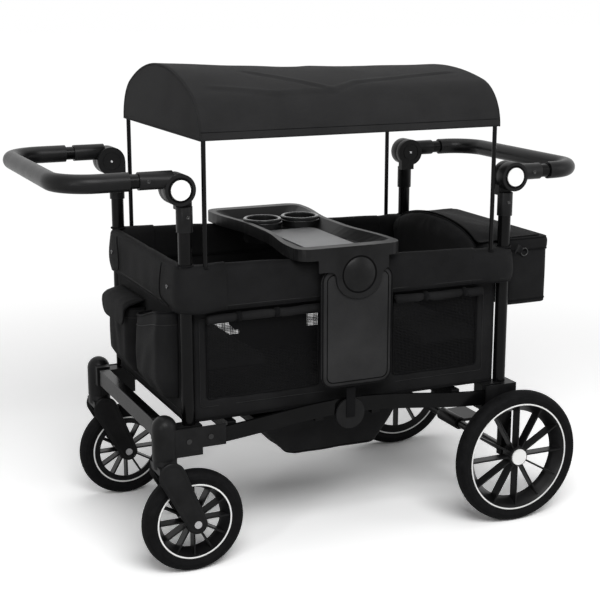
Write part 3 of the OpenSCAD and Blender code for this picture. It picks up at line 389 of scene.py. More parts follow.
CLOTH = cloth("tub_cloth", (0.0070, 0.0070, 0.0073), (0.0145, 0.0145, 0.015))
CANOPY = cloth("canopy_cloth", (0.0155, 0.0155, 0.0159), (0.0230, 0.0230, 0.0235), pitch=0.9, crumple=0.7)
PAD = cloth("pad_cloth", (0.0070, 0.0070, 0.0073), (0.0135, 0.0135, 0.014), pitch=1.0, crumple=1.4)
BIB = cloth("bib_cloth", (0.0185, 0.0185, 0.019), (0.0310, 0.0310, 0.0315), pitch=1.0, crumple=0.8)
TRIM = cloth("binding", (0.003, 0.003, 0.0033), (0.0065, 0.0065, 0.007), pitch=1.6, weave=0.25, crumple=0.3, sheen=0.02)
PLASTIC = plastic("black_plastic", (0.0050, 0.0050, 0.0052), (0.0100, 0.0100, 0.0104), rough=0.34, shine=0.12)
TUBE = plastic("black_tube", (0.0014, 0.0014, 0.0015), (0.0028, 0.0028, 0.0030), rough=0.19, grain=0.02, shine=0.12)
FOAM = plastic("black_foam", (0.0036, 0.0036, 0.0038), (0.0064, 0.0064, 0.0067), rough=0.33, grain=0.10, scale=1500.0,
               shine=0.16)
GLOSS = plastic("gloss_plastic", (0.003, 0.003, 0.0032), (0.005, 0.005, 0.0055), rough=0.20, grain=0.01, coat=0.4)
# near-black, almost unlit plastic: painted shade for the gaps round buttons and discs and for a seam's groove
GAP_SHADE = plastic("painted_gap_shade", (0.0010, 0.0010, 0.0011), (0.0018, 0.0018, 0.0019), rough=0.6, shine=0.04)
WHITE = plastic("white_plastic", (0.80, 0.80, 0.79), (0.88, 0.88, 0.87), rough=0.34, grain=0.03)
STEEL = metal("bright_steel", (0.62, 0.62, 0.63), 0.26)
MAT = plastic("grey_mat", (0.30, 0.302, 0.307), (0.355, 0.357, 0.362), rough=0.46, grain=0.06)
RIM = plastic("rim_plastic", (0.0045, 0.0045, 0.0048), (0.008, 0.008, 0.0085), rough=0.30, shine=0.15)
MESH = netting("window_mesh", 3.6, 0.72)
THREAD = plastic("seam_thread", (0.0045, 0.0045, 0.0048), (0.0085, 0.0085, 0.009), rough=0.6, grain=0.15, scale=1800.0)


def fit(ob, mat, body, squash=None):
    """Gives a piece its material and body; a squash, when given, only gives the piece a mesh of its own."""
    ob.data.materials.clear()
    ob.data.materials.append(mat)
    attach(ob, body)
    if squash:
        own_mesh(ob)
    return ob


def flat_sheet(ob):
    """Hands a sewn sheet back as it is."""
    return ob


# Finish of the CAD solids

WHEELS = (("front", (-346, 250, 115), 82), ("rear", (445, 298, 159), 127))


def dress(names, mat, edge=0.0, segments=2):
    """A finish on CAD nodes, with softened edges where edge is set."""
    for n in names.split():
        ob = nodes[n]
        ob.data.materials.clear()
        ob.data.materials.append(mat)
        if edge:
            ob.modifiers.new("weld", "WELD").merge_threshold = 0.00002
            b = ob.modifiers.new("bevel", "BEVEL")
            b.width, b.segments = edge * MM, segments
            b.limit_method, b.angle_limit = "ANGLE", math.radians(38)


dress("front_brackets rear_brackets front_hinge_bases rear_hinge_bases front_hinge_arms rear_hinge_arms hub_axle"
      " brake_pedal left_fork right_fork", PLASTIC, 1.6)
dress("front_rails rear_rails front_crossbar rear_axle", TUBE, 1.0)
dress("front_posts rear_posts front_hoop rear_hoop front_handle_tube rear_handle_tube", TUBE)
dress("front_grip rear_grip", FOAM)
dress("front_left_button front_right_button rear_left_button rear_right_button", WHITE, 1.4)
dress("rear_left_cap rear_right_cap", WHITE, 1.4)
dress("left_axle_bolt right_axle_bolt", STEEL, 0.5)
dress("front_screws", GLOSS, 0.5)
dress("front_floor_board rear_floor_board", CLOTH, 1.5)
dress("tray", PLASTIC, 3.0, 3)
dress("tray_mat", MAT, 1.0)
dress("tray_discs", PLASTIC, 0.8)
dress("front_left_rim front_right_rim rear_left_rim rear_right_rim", RIM, 0.8)
for end, (x, y, z), _ in WHEELS:
    for side, name in SIDES:
        dress(f"{end}_{name}_tyre", rubber(f"{end}_{name}_tyre_foam", (x, side * y, z)))


# Canopy

HALF, SHOULDER, CANOPY_Z = 256.0, 95.0, 932.0
X_FRONT, X_REAR = -317.3, 391.3
GIRTH = 640
CANOPY_FOLD, UPPER = (-0.310, 0.5048), "canopy_cloth"
# x and share of the girth at a crease's two ends, then its height and width
CREASES = ((-150, 0.36, 3, 0.165, 2.6, 7), (3, 0.165, 75, 0.22, 2.4, 7), (75, 0.22, 345, 0.31, 2.2, 7),
           (-262, 0.205, -133, 0.16, 2.0, 8), (-133, 0.16, 3, 0.165, 2.0, 8), (60, 0.60, 330, 0.70, 1.8, 14),
           (-270, 0.66, -40, 0.78, 1.8, 14))


def canopy_line(x, grow, n=81):
    """The three-centred arch at x, from the left lower edge over the top to the right one, moved out by grow."""
    s = (x - X_FRONT) / (X_REAR - X_FRONT)
    rise = 134 - 20 * s - 7 * math.sin(math.pi * s)
    top = ((HALF - SHOULDER) ** 2 + rise ** 2 - SHOULDER ** 2) / (2 * (rise - SHOULDER))
    phi = math.degrees(math.asin((HALF - SHOULDER) / (top - SHOULDER)))
    half = np.vstack([arc(HALF - SHOULDER, 0, SHOULDER, 0, 90 - phi, 24)[:-1],
                      arc(0, rise - top, top, 90 - phi, 90, 36)])
    full = resample(np.vstack([half, (half * [-1, 1])[-2::-1]])[::-1], n)
    t = np.gradient(full, axis=0)
    full = full + unit(np.stack([-t[:, 1], t[:, 0]], 1)) * np.reshape(grow, (-1, 1))
    return points(x, full[:, 0], CANOPY_Z + full[:, 1])


def canopy_swell(x, t):
    """How far the cloth stands off its arch: faint ripples, and creases that run from the hoops."""
    g = t * GIRTH
    out = 0.7 * ripple(x, g, 3, 110, 260)
    for ax, at, bx, bt, high, wide in CREASES:
        dx, dg, x0, g0 = bx - ax, (bt - at) * GIRTH, x - ax, g - at * GIRTH
        length = math.hypot(dx, dg)
        along, off = (x0 * dx + g0 * dg) / length, (x0 * dg - g0 * dx) / length
        fade = smooth_step(along, -25, 15) * (1 - smooth_step(along, length - 15, length + 25))
        out = out + high * fade * (np.exp(-(off / wide) ** 2) - 0.6 * np.exp(-((off - 1.6 * wide) / wide) ** 2))
    return out


xs, ts = np.linspace(X_FRONT, X_REAR, 121), np.linspace(0, 1, 121)
rows = []
for x in xs:
    hold = min(1.0, (x - X_FRONT) / 40, (X_REAR - x) / 40)
    free = hold * smooth_step(ts, 0, 0.06) * smooth_step(1 - ts, 0, 0.06)
    rows.append(canopy_line(x, 6.9 + free * np.clip(canopy_swell(x, ts), -2, 3.2), len(ts)))
canopy = fit(thicken(grid("canopy", rows), 1.4), CANOPY, "front_frame", CANOPY_FOLD)
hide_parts("canopy_cover")
hems = [resample(canopy_line(x, 7.6)[::way][:3], 5) for way in (1, -1) for x in xs[::2]]
half = len(hems) // 2
keep = np.ones((2 * half - 1, 4), bool)
keep[half - 1] = False
hem = thicken(grid("canopy_hem", hems, keep=keep), 1.2, 0.0)
extras = [fit(hem, CANOPY, "front_frame", CANOPY_FOLD)]
for k, way in enumerate((-1, 1)):
    line = [row[-1] + [0, way * 0.4, 0] for row in hems[k * half:(k + 1) * half]]
    extras.append(fit(tube(f"canopy_hem_stitch_{k}", line, 0.9, 6), TRIM, "front_frame", CANOPY_FOLD))
for end, x, out, fold in (("front", X_FRONT, -1, CANOPY_FOLD), ("rear", X_REAR, 1, None)):
    name, body = f"canopy_{end}_end", f"{end}_frame"
    line = canopy_line(x, 6.6)
    y, high, down = line[:, 1:2], line[:, 2:] - CANOPY_Z, np.linspace(0, 1, 21)
    bulge = 1.6 * np.sin(np.pi * np.linspace(0, 1, len(line)))[:, None] + 0.5 * ripple(y, down * high, 8, 70, 160)
    pts = points(x + out * (0.6 + bulge * np.sin(np.pi * down)), y, CANOPY_Z + high * down)
    closed_end = fit(thicken(clean(grid(name, pts)), 1.2, 0.0), CANOPY, body, fold)
    flat_sheet(closed_end)
    low = resample(points(x + out, line[[0, -1], 1], CANOPY_Z + 1), 40)
    for part, path, r in (("piping", line + [out * 0.8, 0, 0], 1.7), ("hem", low, 1.5)):
        extras.append(fit(tube(f"{name}_{part}", path, r), CANOPY, body, fold))
flat_sheet(canopy)


# Collar

LOW_Z, INNER = 575.0, 219.5
COLLAR_FOLD = (-0.270, 0.4402)


def collar_top(x):
    return 676 - 0.029162 * (x + 370)


def collar_section(outer, inner, z_top, inner_low, belly):
    """Closed section between two points in plan: a puffed outer face, a round top and an inner face."""
    outer, inner = np.asarray(outer, float), np.asarray(inner, float)
    way = unit(outer - inner)
    r = min(20.0, np.linalg.norm(outer - inner) * 0.46)
    shoulder = z_top - r
    pts = []
    for f in np.linspace(0, 1, 9):
        puff = belly * math.sin(math.pi * min(1, 0.08 + 0.92 * f) ** 0.9) - 2.2 * (1 - f) ** 6
        pts.append((*(outer + way * puff), LOW_Z + (shoulder - LOW_Z) * f))
    for a in np.radians(np.linspace(12, 90, 7)):
        pts.append((*(outer - way * r * (1 - math.cos(a))), shoulder + r * math.sin(a)))
    for a in np.radians(np.linspace(90, 168, 7)):
        pts.append((*(inner + way * r * (1 + math.cos(a))), shoulder + r * math.sin(a)))
    for f in np.linspace(0, 1, 9):
        pts.append((*(inner - way * 0.35 * belly * math.sin(math.pi * f)), shoulder + (inner_low - shoulder) * f))
    return np.array(pts)


def shifted(plan, d):
    """A path in plan moved outward by d along its own normal."""
    t = np.gradient(plan, axis=0)
    n = unit(np.stack([t[:, 1], -t[:, 0]], 1))
    k = len(plan) // 2
    return plan + n * (d if (plan[k] - plan.mean(0)) @ n[k] >= 0 else -d)


def end_collar(end, x_end, x_open, mouth, way, seed):
    """A collar end: across the end, round its two corners and back to where the side bands start."""
    corner, wide, narrow = 42.0, 269.5, 256.5
    span, depth = abs(x_open - x_end), abs(mouth - x_end)
    outer = [[x, -(narrow + (wide - narrow) * (1 - smooth_step(x, span - 62, span)))]
             for x in np.linspace(span, corner, 15)]
    outer = np.vstack([outer, arc(corner, -wide + corner, corner, 270, 180, 10)[1:],
                       [[0, y] for y in np.linspace(-wide + corner, wide - corner, 41)[1:]],
                       arc(corner, wide - corner, corner, 180, 90, 10)[1:],
                       [[x, -y] for x, y in outer[-2::-1]]])
    inner = np.array([[max(x, depth) if abs(y) >= INNER else depth, np.clip(y, -INNER, INNER)] for x, y in outer])
    for _ in range(6):
        inner[1:-1] = (inner[:-2] + 2 * inner[1:-1] + inner[2:]) / 4
    total = np.r_[0, np.cumsum(np.linalg.norm(np.diff(outer, axis=0), axis=1))]
    outer_x, inner_x = x_end + way * outer[:, 0], x_end + way * inner[:, 0]
    rows = []
    for along, x, ix, (deep, y), iy in zip(total, outer_x, inner_x, outer, inner[:, 1]):
        belly = 3.2 + 1.2 * ripple(along, 0, seed, 60, 170)
        if end == "front":
            belly += 2.2 * (smooth_step(abs(y), 146, 156) if deep < 1 else 1.0)
        z = collar_top(x_end + way * 30 if abs(y) < wide - 2 else x) - 0.75 * (1 + ripple(along, 0, 9, 90, 240))
        rows.append(collar_section((x, y), (ix, iy), z, LOW_Z + 6, belly))
    ob = clean(grid(f"{end}_collar_pad", rows, wrap_v=True, ends=True))
    fit(ob, PAD, f"{end}_frame")
    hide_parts(f"{end}_collar")
    plan = np.stack([outer_x, outer[:, 1]], 1)
    for k, (z, out, r, mat) in enumerate(((0.5, -1.6, 1.9, TRIM), (9, 0.4, 0.75, THREAD))):
        line = shifted(plan, out)
        bead = tube(f"{end}_collar_hem_{k}", points(line[:, 0], line[:, 1], LOW_Z + z), r)
        fit(bead, mat, f"{end}_frame")


end_collar("front", -370, -262, -345, 1, 5)
end_collar("rear", 453, 336, 389.5, -1, 6)

LAP = ((-374.4, 163, 668), (-375.6, 160, 655), (-376.2, 153, 630), (-376.2, 149, 608), (-375.8, 153, 596),
       (-375.4, 163, 588), (-375.0, 180, 584), (-375.0, 205, 582))
for side, name in SIDES:
    lap = tube(f"{name}_collar_lap", resample(np.array(LAP) * [1, side, 1], 40), 1.5)
    fit(lap, TRIM, "front_frame")
    # eyelets round the posts and the canopy's rods
    for x, y, r, low, body in ((-348, 240, 15.2, 1.0, "front_frame"), (428, 240, 15.2, 1.0, "rear_frame"),
                               (-310, 256, 5.6, 6.5, "front_frame"), (384, 256, 5.6, 6.5, "rear_frame")):
        c, s = circle(28, r + 1.2)
        loop = points(x + c, side * y + s, collar_top(x) - low)
        fit(tube(f"collar_eyelet_{x}_{side * y}", loop, 2.0, closed=True), TRIM, body)
    rows = []
    for x in np.linspace(-274, 348, 80):
        belly = 3.8 + 1.6 * ripple(x, 0, 12 if side < 0 else 13, 60, 180)
        z = collar_top(x) - 0.75 * (1 + ripple(x, 0, 14, 90, 240))
        rows.append(collar_section((x, side * 256.0), (x, side * 219.8), z, LOW_Z + 21, belly))
    band = clean(grid(f"{name}_side_collar", rows, wrap_v=True, ends=True))
    fit(band, PAD, "front_frame", COLLAR_FOLD)
    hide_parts("side_collars")
    for k, (z, out, r, mat) in enumerate(((0.5, -1.4, 1.9, TRIM), (9, 1.2, 0.75, THREAD))):
        line = points(np.linspace(-272, 346, 70), side * (256 + out), LOW_Z + z)
        fit(tube(f"{name}_collar_hem_{k}", line, r), mat, "front_frame", COLLAR_FOLD)


# Tub sides

# each window's two ends, and where its rolled shade is tied
WINDOWS = ((-301.0, -42.0, (-235, -147)), (146.0, 362.5, (218, 318)))
WZ0, WZ1 = 378.0, 550.0
TUB_X0, TUB_X1, TUB_Z0, TUB_Z1 = -332.5, 411.0, 329.0, 648
TUB_FOLD = (-0.324, 0.527)
ROLL_Y, ROLL_Z, TIE_R = 248.9, 556.3, 9.6


def spaced(breaks, step):
    out = [breaks[0]]
    for a, b in zip(breaks, breaks[1:]):
        out += list(np.linspace(a, b, max(1, int(round((b - a) / step))) + 1)[1:])
    return np.array(out)


gx = spaced((TUB_X0, *WINDOWS[0][:2], *WINDOWS[1][:2], TUB_X1), 9)
gz = spaced((TUB_Z0, WZ0, WZ1, TUB_Z1), 9)
mid_x, mid_z = (gx[1:] + gx[:-1])[:, None] / 2, (gz[1:] + gz[:-1]) / 2
keep = np.ones((len(gx) - 1, len(gz) - 1), bool)
for a, b, _ in WINDOWS:
    keep &= ~((a < mid_x) & (mid_x < b) & (WZ0 < mid_z) & (mid_z < WZ1))
for side, name in SIDES:
    X = gx[:, None]
    top = np.minimum(1, (collar_top(X) - 13 - WZ1) / (TUB_Z1 - WZ1))
    Z = np.where(gz > WZ1, WZ1 + (gz - WZ1) * top, gz)
    free = np.minimum(smooth_step(Z, 335, 352), smooth_step(np.minimum(TUB_X1 - X, X - TUB_X0), 0, 25))
    fold = 1.7 * ripple(X, Z * 0.7, 21 if side < 0 else 22, 60, 190)
    pts = points(X, side * (235.0 + np.clip(fold * (0.35 + 0.65 * free), -2, 2)), Z)
    panel = thicken(clean(grid(f"{name}_tub_side", pts, keep=keep)), 2.6, 0.0)
    fit(panel, CLOTH, "front_frame", TUB_FOLD)
    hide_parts("side_panels")
    for k, (a, b, _) in enumerate(WINDOWS):
        for part, inset, r, mat in (("bead", -1.5, 1.7, TRIM), ("stitch", -18.0, 0.7, THREAD)):
            loop = resample(round_rect(a + inset, WZ0 + inset, b - inset, WZ1 - inset * 0.25, 5, 4), 150, closed=True)
            bead = tube(f"{name}_window_{k}_{part}", points(loop[:, 0], side * 236.9, loop[:, 1]), r, 7, closed=True)
            fit(bead, mat, "front_frame", TUB_FOLD)
    low = points(np.linspace(TUB_X0 + 1, TUB_X1 - 1, 60), side * 236.2, 330.8)
    fit(tube(f"{name}_tub_hem", low, 2.0, 7), TRIM, "front_frame", TUB_FOLD)
    flat_sheet(panel)
    for k, (a, b, ties) in enumerate(WINDOWS):
        X, Z = np.linspace(a - 3, b + 3, 24)[:, None], np.linspace(WZ0 - 3, WZ1 + 3, 18)
        u, v = np.clip((X - a) / (b - a), 0, 1), np.clip((Z - WZ0) / (WZ1 - WZ0), 0, 1)
        Y = side * (234.6 - 3.0 * np.sin(np.pi * u) * np.sin(np.pi * v))
        pane = fit(grid(f"{name}_window_mesh_{k}", points(X, Y, Z)), MESH, "front_frame", TUB_FOLD)
        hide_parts("mesh_windows")
        flat_sheet(pane)
        rows = []
        for x in np.linspace(a - 5, b + 5, 60):
            pinch = sum(math.exp(-((x - t) / 12) ** 2) for t in ties)
            sag = 1.5 * (1 - pinch) * (1 + ripple(x, 0, 31 + k, 70, 150))
            r = 10.2 - 1.6 * pinch + 0.5 * ripple(x, 0, 33 + k, 30, 80)
            turn = np.linspace(0, 2 * math.pi, 26)
            r = r * (1 - 0.16 * turn / (2 * math.pi)) * (1 + 0.03 * np.sin(3 * turn + x / 30))
            rows.append(points(x, side * (ROLL_Y + r * np.cos(turn - 1.2) * 0.98),
                               ROLL_Z + 0.2 - sag + r * np.sin(turn - 1.2)))
        roll = clean(grid(f"{name}_rolled_cover_{k}", rows, wrap_v=True, ends=True))
        fit(roll, CLOTH, "front_frame", TUB_FOLD)
        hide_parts("window_rolls")
        for t in ties:
            c, s = circle(26, TIE_R)
            loop, out = points(t, side * (ROLL_Y + c), ROLL_Z + s), points(0, side * c, s) / TIE_R
            rows = [loop + [w, 0, 0] + thick * out for w, thick in ((-6, 0), (-6, 1.0), (6, 1.0), (6, 0))]
            tie = clean(grid(f"{name}_tie_{t}", np.stack(rows, 1), wrap_u=True, wrap_v=True))
            fit(tie, TRIM, "front_frame", TUB_FOLD)


# Floor of the tub: a cloth strip from each end panel to the folding board, and one over the fold

Y = np.linspace(-228, 228, 60)
for end, x0, x1 in (("front", -353, -267), ("rear", 311, 397)):
    X = np.linspace(x0, x1, 20)[:, None]
    u = (X - x0) / (x1 - x0)
    sag = np.sin(np.pi * u) * (2.0 + ripple(X, Y, 91, 50, 150))
    pts = points(X, Y, 336.0 - sag - 3.0 * (u if end == "front" else 1 - u))
    strip = fit(thicken(grid(f"{end}_floor_strip", pts), 1.6, 0.0), CLOTH, f"{end}_frame")
    flat_sheet(strip)
X, Y = np.linspace(1, 43, 14)[:, None], np.linspace(-223, 223, 60)
strip = grid("middle_floor_strip", points(X, Y, 335.6 + 0.5 * ripple(X, Y, 92, 50, 150)))
strip = fit(thicken(strip, 1.4, 0.0), CLOTH, "hub")
flat_sheet(strip)


# Ends of the tub, and the pockets on the front one

def end_panel(end, x, half, top, n, swell, seed, hem_x, hem_half, hems):
    """The cloth of a tub end, from the floor up to its collar, with hems given as name, height, radius and material."""
    Y, Z = np.linspace(-half, half, 52)[:, None], np.linspace(335, top, n)
    X = x + np.clip(swell * ripple(Y, Z, seed, 80, 200), -2, 2) * np.sin(np.pi * (Z - 335) / (top - 335))
    panel = fit(thicken(grid(f"{end}_tub_end", points(X, Y, Z)), 2.4, 0.0), CLOTH, f"{end}_frame")
    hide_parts(f"{end}_end_panel")
    line = np.linspace(-hem_half, hem_half, 40)
    trim = [fit(tube(name, points(hem_x, line, z), r, 7), mat, f"{end}_frame") for name, z, r, mat in hems]
    flat_sheet(panel)


end_panel("front", -355.0, 224.5, 656, 38, 1.5, 41, -356.6, 224,
          (("front_end_hem_336", 336.5, 1.9, TRIM), ("front_end_hem_352", 352.0, 0.7, THREAD)))
POUCH_X = -357.2


def pouch(name, y0, y1, z0, z1, seed, slack, lift=0.0):
    """A sewn pouch on the end panel: rounded in plan, fuller below, open at its top, with a rim that may rise."""
    rows = []
    for z in np.linspace(z0, z1, 22):
        f = (z - z0) / (z1 - z0)
        full = 0.62 + 0.38 * smooth_step(f, 0, 0.22) if f < 0.5 else 1.0 - slack * smooth_step(f, 0.5, 1.0)
        depth = 45.0 * full
        tuck = 5.0 * (1 - smooth_step(f, 0, 0.2))
        r = min(24.0, depth * 0.55)
        plan = np.vstack([[[0, y0 + tuck]], arc(-depth + r, y0 + tuck + r * 1.1, r, 270, 180, 8),
                          arc(-depth + r, y1 - tuck - r * 1.1, r, 180, 90, 8), [[0, y1 - tuck]]])
        plan = resample(plan, 54)
        wave = ripple(np.linspace(0, y1 - y0 + 90, 54), z, seed, 45, 130) * np.sin(np.linspace(0, math.pi, 54)) * 1.6
        rise = lift * f * smooth_step(-plan[:, 1], 45, 212)
        rows.append(points(POUCH_X + plan[:, 0] + wave, plan[:, 1], z + rise))
    bottom = []
    for k in range(5, 0, -1):
        x, y, _ = rows[0].T
        bottom.append(points(POUCH_X + (x - POUCH_X) * (1 - k / 5 * 0.98), y, z0 - 1.2 * math.sin(math.pi * k / 5)))
    ob = fit(thicken(clean(grid(name, bottom + rows)), 2.0), CLOTH, "front_frame")
    trim = [fit(tube(name + "_binding", rows[-1] + [0.6, 0, 0], 2.3), TRIM, "front_frame"),
            fit(tube(name + "_stitch", rows[-4] - [0.6, 0, 0], 0.7, 6), THREAD, "front_frame")]
    flat_sheet(ob)


pouch("near_pocket", -212, -30, 379, 531, 51, 0.10, 38)
pouch("far_pocket", 12, 176, 379, 528, 52, 0.06)

# The flap over the far pocket: a soft lid with a rounded front edge and piping
FLAP_Y0, FLAP_Y1, FLAP_CORNER = 7.5, 180.5, 26
rows = []
for y in np.linspace(FLAP_Y0, FLAP_Y1, 40):
    e = min(y - FLAP_Y0, FLAP_Y1 - y)
    rounding = 1 - math.sqrt(max(0, 1 - (1 - min(1, e / FLAP_CORNER)) ** 2))
    tuck = 4.0 * (1 - smooth_step(e, 0, 18))
    x, z = resample([[-359.8, 546.6], [-370, 546.8 - tuck * 0.5], [-385, 545 - tuck], [-397, 541.5 - tuck],
                     [-404.5, 536 - tuck], [-408.0, 528], [-409.3, 516], [-409.4, 491 + FLAP_CORNER * rounding]], 22).T
    swell = 1.6 * math.sin(math.pi * (y - FLAP_Y0) / (FLAP_Y1 - FLAP_Y0)) + 0.8 * ripple(y, 0, 55, 40, 110)
    rows.append(points(x - swell * np.linspace(0, 1, 22), y, z + swell * np.sin(np.linspace(0, math.pi, 22))))
rows = np.array(rows)
flap = fit(thicken(grid("pocket_flap_cover", rows), 2.2), CLOTH, "pocket_flap")
edge = np.vstack([rows[0, 3:], rows[1:-1, -1], rows[-1, ::-1][:-3]])
piping = fit(tube("pocket_flap_piping", edge, 1.9), TRIM, "pocket_flap")
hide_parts("pocket_flap")
flat_sheet(flap)


# Rear end of the tub, and the bag behind it

end_panel("rear", 399.5, 231, 636, 36, 1.4, 61, 401.2, 230, (("rear_end_hem", 336.5, 1.9, TRIM),))
(bx0, _, bz0), (bx1, _, bz1) = (np.array(corner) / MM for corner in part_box("rear_bag"))
BAG_Y, BAG_BULGE, BAG_SAG = 214.0, 5.0, 5.0


def shrunk(loop, s, dz):
    """A loop drawn in towards its middle in plan, to a share s, and raised by dz."""
    mid = loop[:, :2].mean(0)
    return np.column_stack([mid + (loop[:, :2] - mid) * s, loop[:, 2] + dz])


plan = resample(round_rect(bx0, -BAG_Y, bx1 - 1, BAG_Y, 13.0, 6), 120, closed=True)
rel = (plan - [(bx0 + bx1 - 1) / 2, 0]) / [(bx1 - 1 - bx0) / 2, BAG_Y]
push = np.sign(rel) * (np.abs(rel) > 0.9) * (1 - np.abs(rel[:, ::-1]) ** 2)
body_loops = []
for z in np.linspace(bz0 + 6, bz1 - 8, 24):
    f = (z - bz0) / (bz1 - 3 - bz0)
    b = BAG_BULGE * math.sin(math.pi * f ** 0.8)
    wave = 0.5 + 0.5 * ripple(np.arange(120) * 10.0, z, 71, 70, 190)
    p = plan + push * (b * (0.4 + 0.6 * wave))[:, None]
    sag = BAG_SAG * (1 - rel[:, 1] ** 2) * (rel[:, 0] > 0) * (1 - f)
    body_loops.append(points(np.maximum(p[:, 0], bx0), p[:, 1], z - sag))
BAG_FLOOR = ((0.1, -6.0), (0.5, -6.0), (0.8, -6.0), (0.95, -5.5), (0.985, -3.5))
bottom = [shrunk(body_loops[0], s, dz) for s, dz in BAG_FLOOR]
bag_body = fit(thicken(clean(grid("rear_bag_body", bottom + body_loops, wrap_v=True)), 2.4), CLOTH, "rear_frame")
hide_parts("rear_bag")
lid = []
for down, grow in ((30, 0.6), (24, 1.6), (14, 2.0), (7, 1.4), (2.5, -1.2)):
    reach = BAG_Y + 1.0 + grow
    p = resample(round_rect(bx0, -reach, bx1 + grow, reach, 15, 6), 120, closed=True)
    lid.append(points(p[:, 0], p[:, 1], bz1 - down))
rim = lid[-1]
for s, dz in ((0.985, 1.4), (0.94, 2.2), (0.75, 2.6), (0.45, 2.2), (0.05, 2.0)):
    p = shrunk(rim, s, dz)
    p[:, 2] -= (1 - s) * (1 + ripple(p[:, 0], p[:, 1], 74, 90, 220))
    lid.append(p)
bag_lid = fit(thicken(clean(grid("rear_bag_lid", lid, wrap_v=True)), 2.0), CLOTH, "rear_frame")
trim = [fit(tube(f"rear_bag_piping_{k}", loop, r, closed=True), TRIM, "rear_frame")
        for k, (loop, r) in enumerate(((rim, 1.9), (lid[0], 1.6), (body_loops[1], 1.8)))]
flat_sheet(bag_body)
flat_sheet(bag_lid)

# Cloth that runs from the rear backrest's arched edge over the collar and onto the bag's lid
X, Y = np.linspace(387, 552, 34)[:, None], np.linspace(-203, 203, 60)
u = (X - 387) / 165
edge = np.maximum(631 + 65 * np.sqrt(np.clip(1 - (Y / 204) ** 2, 0, 1)), 657)
Z = bz1 + 1.8 + (edge - bz1 - 1.8) * (1 - smooth_step(u, -0.15, 1.02))
Z = np.maximum(Z + 1.2 * ripple(X, Y, 96, 70, 200) * np.sin(np.pi * u), np.where(X < 460, 655.5, bz1 + 0.9))
cover = fit(thicken(grid("rear_cover", points(X, Y, Z)), 1.8, 0.0), PAD, "rear_frame")
flat_sheet(cover)

# Short straps from the rear corners to a ring on each side of the bag
RING_STRAP = ((446, 262, 640), (455, 256, 646), (468, 240, 645), (482, 226, 639), (494, 219.5, 632))
for side, name in SIDES:
    path = resample(np.array(RING_STRAP) * [1, side, 1], 24)
    strap = fit(webbing(f"{name}_ring_strap", path, (0.35, 0, 1), 17, 2.0), TRIM, "rear_frame")
    c, s = circle(32, 9)
    loop = tube(f"{name}_strap_ring", points(500 + c, side * 219.5, 629 + s), 1.8, 10, closed=True)
    fit(loop, GLOSS, "rear_frame")


# Bag under the floor

UNDER_TOP, UNDER_LOW = 299.0, 194.5
UNDER_FOLD = (0.022, 0.08)
loops = []
for f in np.arange(26) / 25:
    z = UNDER_LOW + (UNDER_TOP - UNDER_LOW) * f
    g = f ** 0.85
    x0, x1, half = -78 - 93 * g, 146 + 44 * g, 165 + 29.5 * g
    plan = resample(round_rect(x0, -half, x1, half, 26 - 12 * f, 6), 140, closed=True)
    fold = 4.0 * np.sin(math.pi * f) * ripple(np.arange(140) * 8.0, z * 0.35, 81, 55, 150)
    plan = plan + unit(plan - [(x0 + x1) / 2, 0]) * fold[:, None]
    x, y = plan.T
    loops.append(points(x, y, z + 2.0 * (1 - f) * ripple(x, y, 83, 80, 180)))
bottom = []
for s, dz in ((0.05, 1.0), (0.35, 0.5), (0.65, -1.0), (0.9, -2.4), (0.97, -1.5)):
    p = shrunk(loops[0], s, dz)
    p[:, 2] += 1.5 * ripple(p[:, 0], p[:, 1], 84, 90, 200)
    bottom.append(p)
under = thicken(clean(grid("under_bag_body", bottom + loops, wrap_v=True)), 2.2)
fit(under, CLOTH, "hub", UNDER_FOLD)
trim = [fit(tube(f"under_bag_{part}", loops[k], r, sides, closed=True), TRIM, "hub", UNDER_FOLD)
        for part, k, r, sides in (("binding", -1, 2.4, 8), ("seam", 1, 1.6, 7))]
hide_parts("under_bag")
flat_sheet(under)


# Cushions

def pulled(w, h, r, pull):
    """A cushion's outline, with sides pulled in between its corners."""
    line = resample(round_rect(-w / 2, -h / 2, w / 2, h / 2, r, 8), 120, closed=True)
    f = line / [w / 2, h / 2]
    return line - np.sign(f) * pull * (np.abs(f) > 0.85) * (1 - f[:, ::-1] ** 2)


def cushion(name, line, thick, crown, to, cap, mat, body, node, held, rim, squash=None, voxel=6.0):
    """A crowned pad on an outline in its own plane, which to() puts in place, with piping round its rim."""
    edge = thick * 0.42
    rings = [points(*(line * s).T, z) for s, z in (
        (0.02, 0), (0.5, 0), (0.9, 0), (0.97, 0.5), (1.0, edge * 0.5), (1.0, edge), (0.985, edge + crown * 0.3),
        (0.94, edge + crown * 0.58), (0.85, edge + crown * 0.78), (0.65, edge + crown * 0.93), (0.35, edge + crown),
        (0.02, edge + crown))]
    ob = clean(grid(name, points(*to(*np.moveaxis(rings, 2, 0))), wrap_v=True), fill=True)
    puffed(ob, voxel, cap, held)
    fit(ob, mat, body, squash)
    fit(tube(name + "_piping", outline_of(ob, *rim), 1.9, closed=True), TRIM, body, squash)
    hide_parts(node)
    return ob


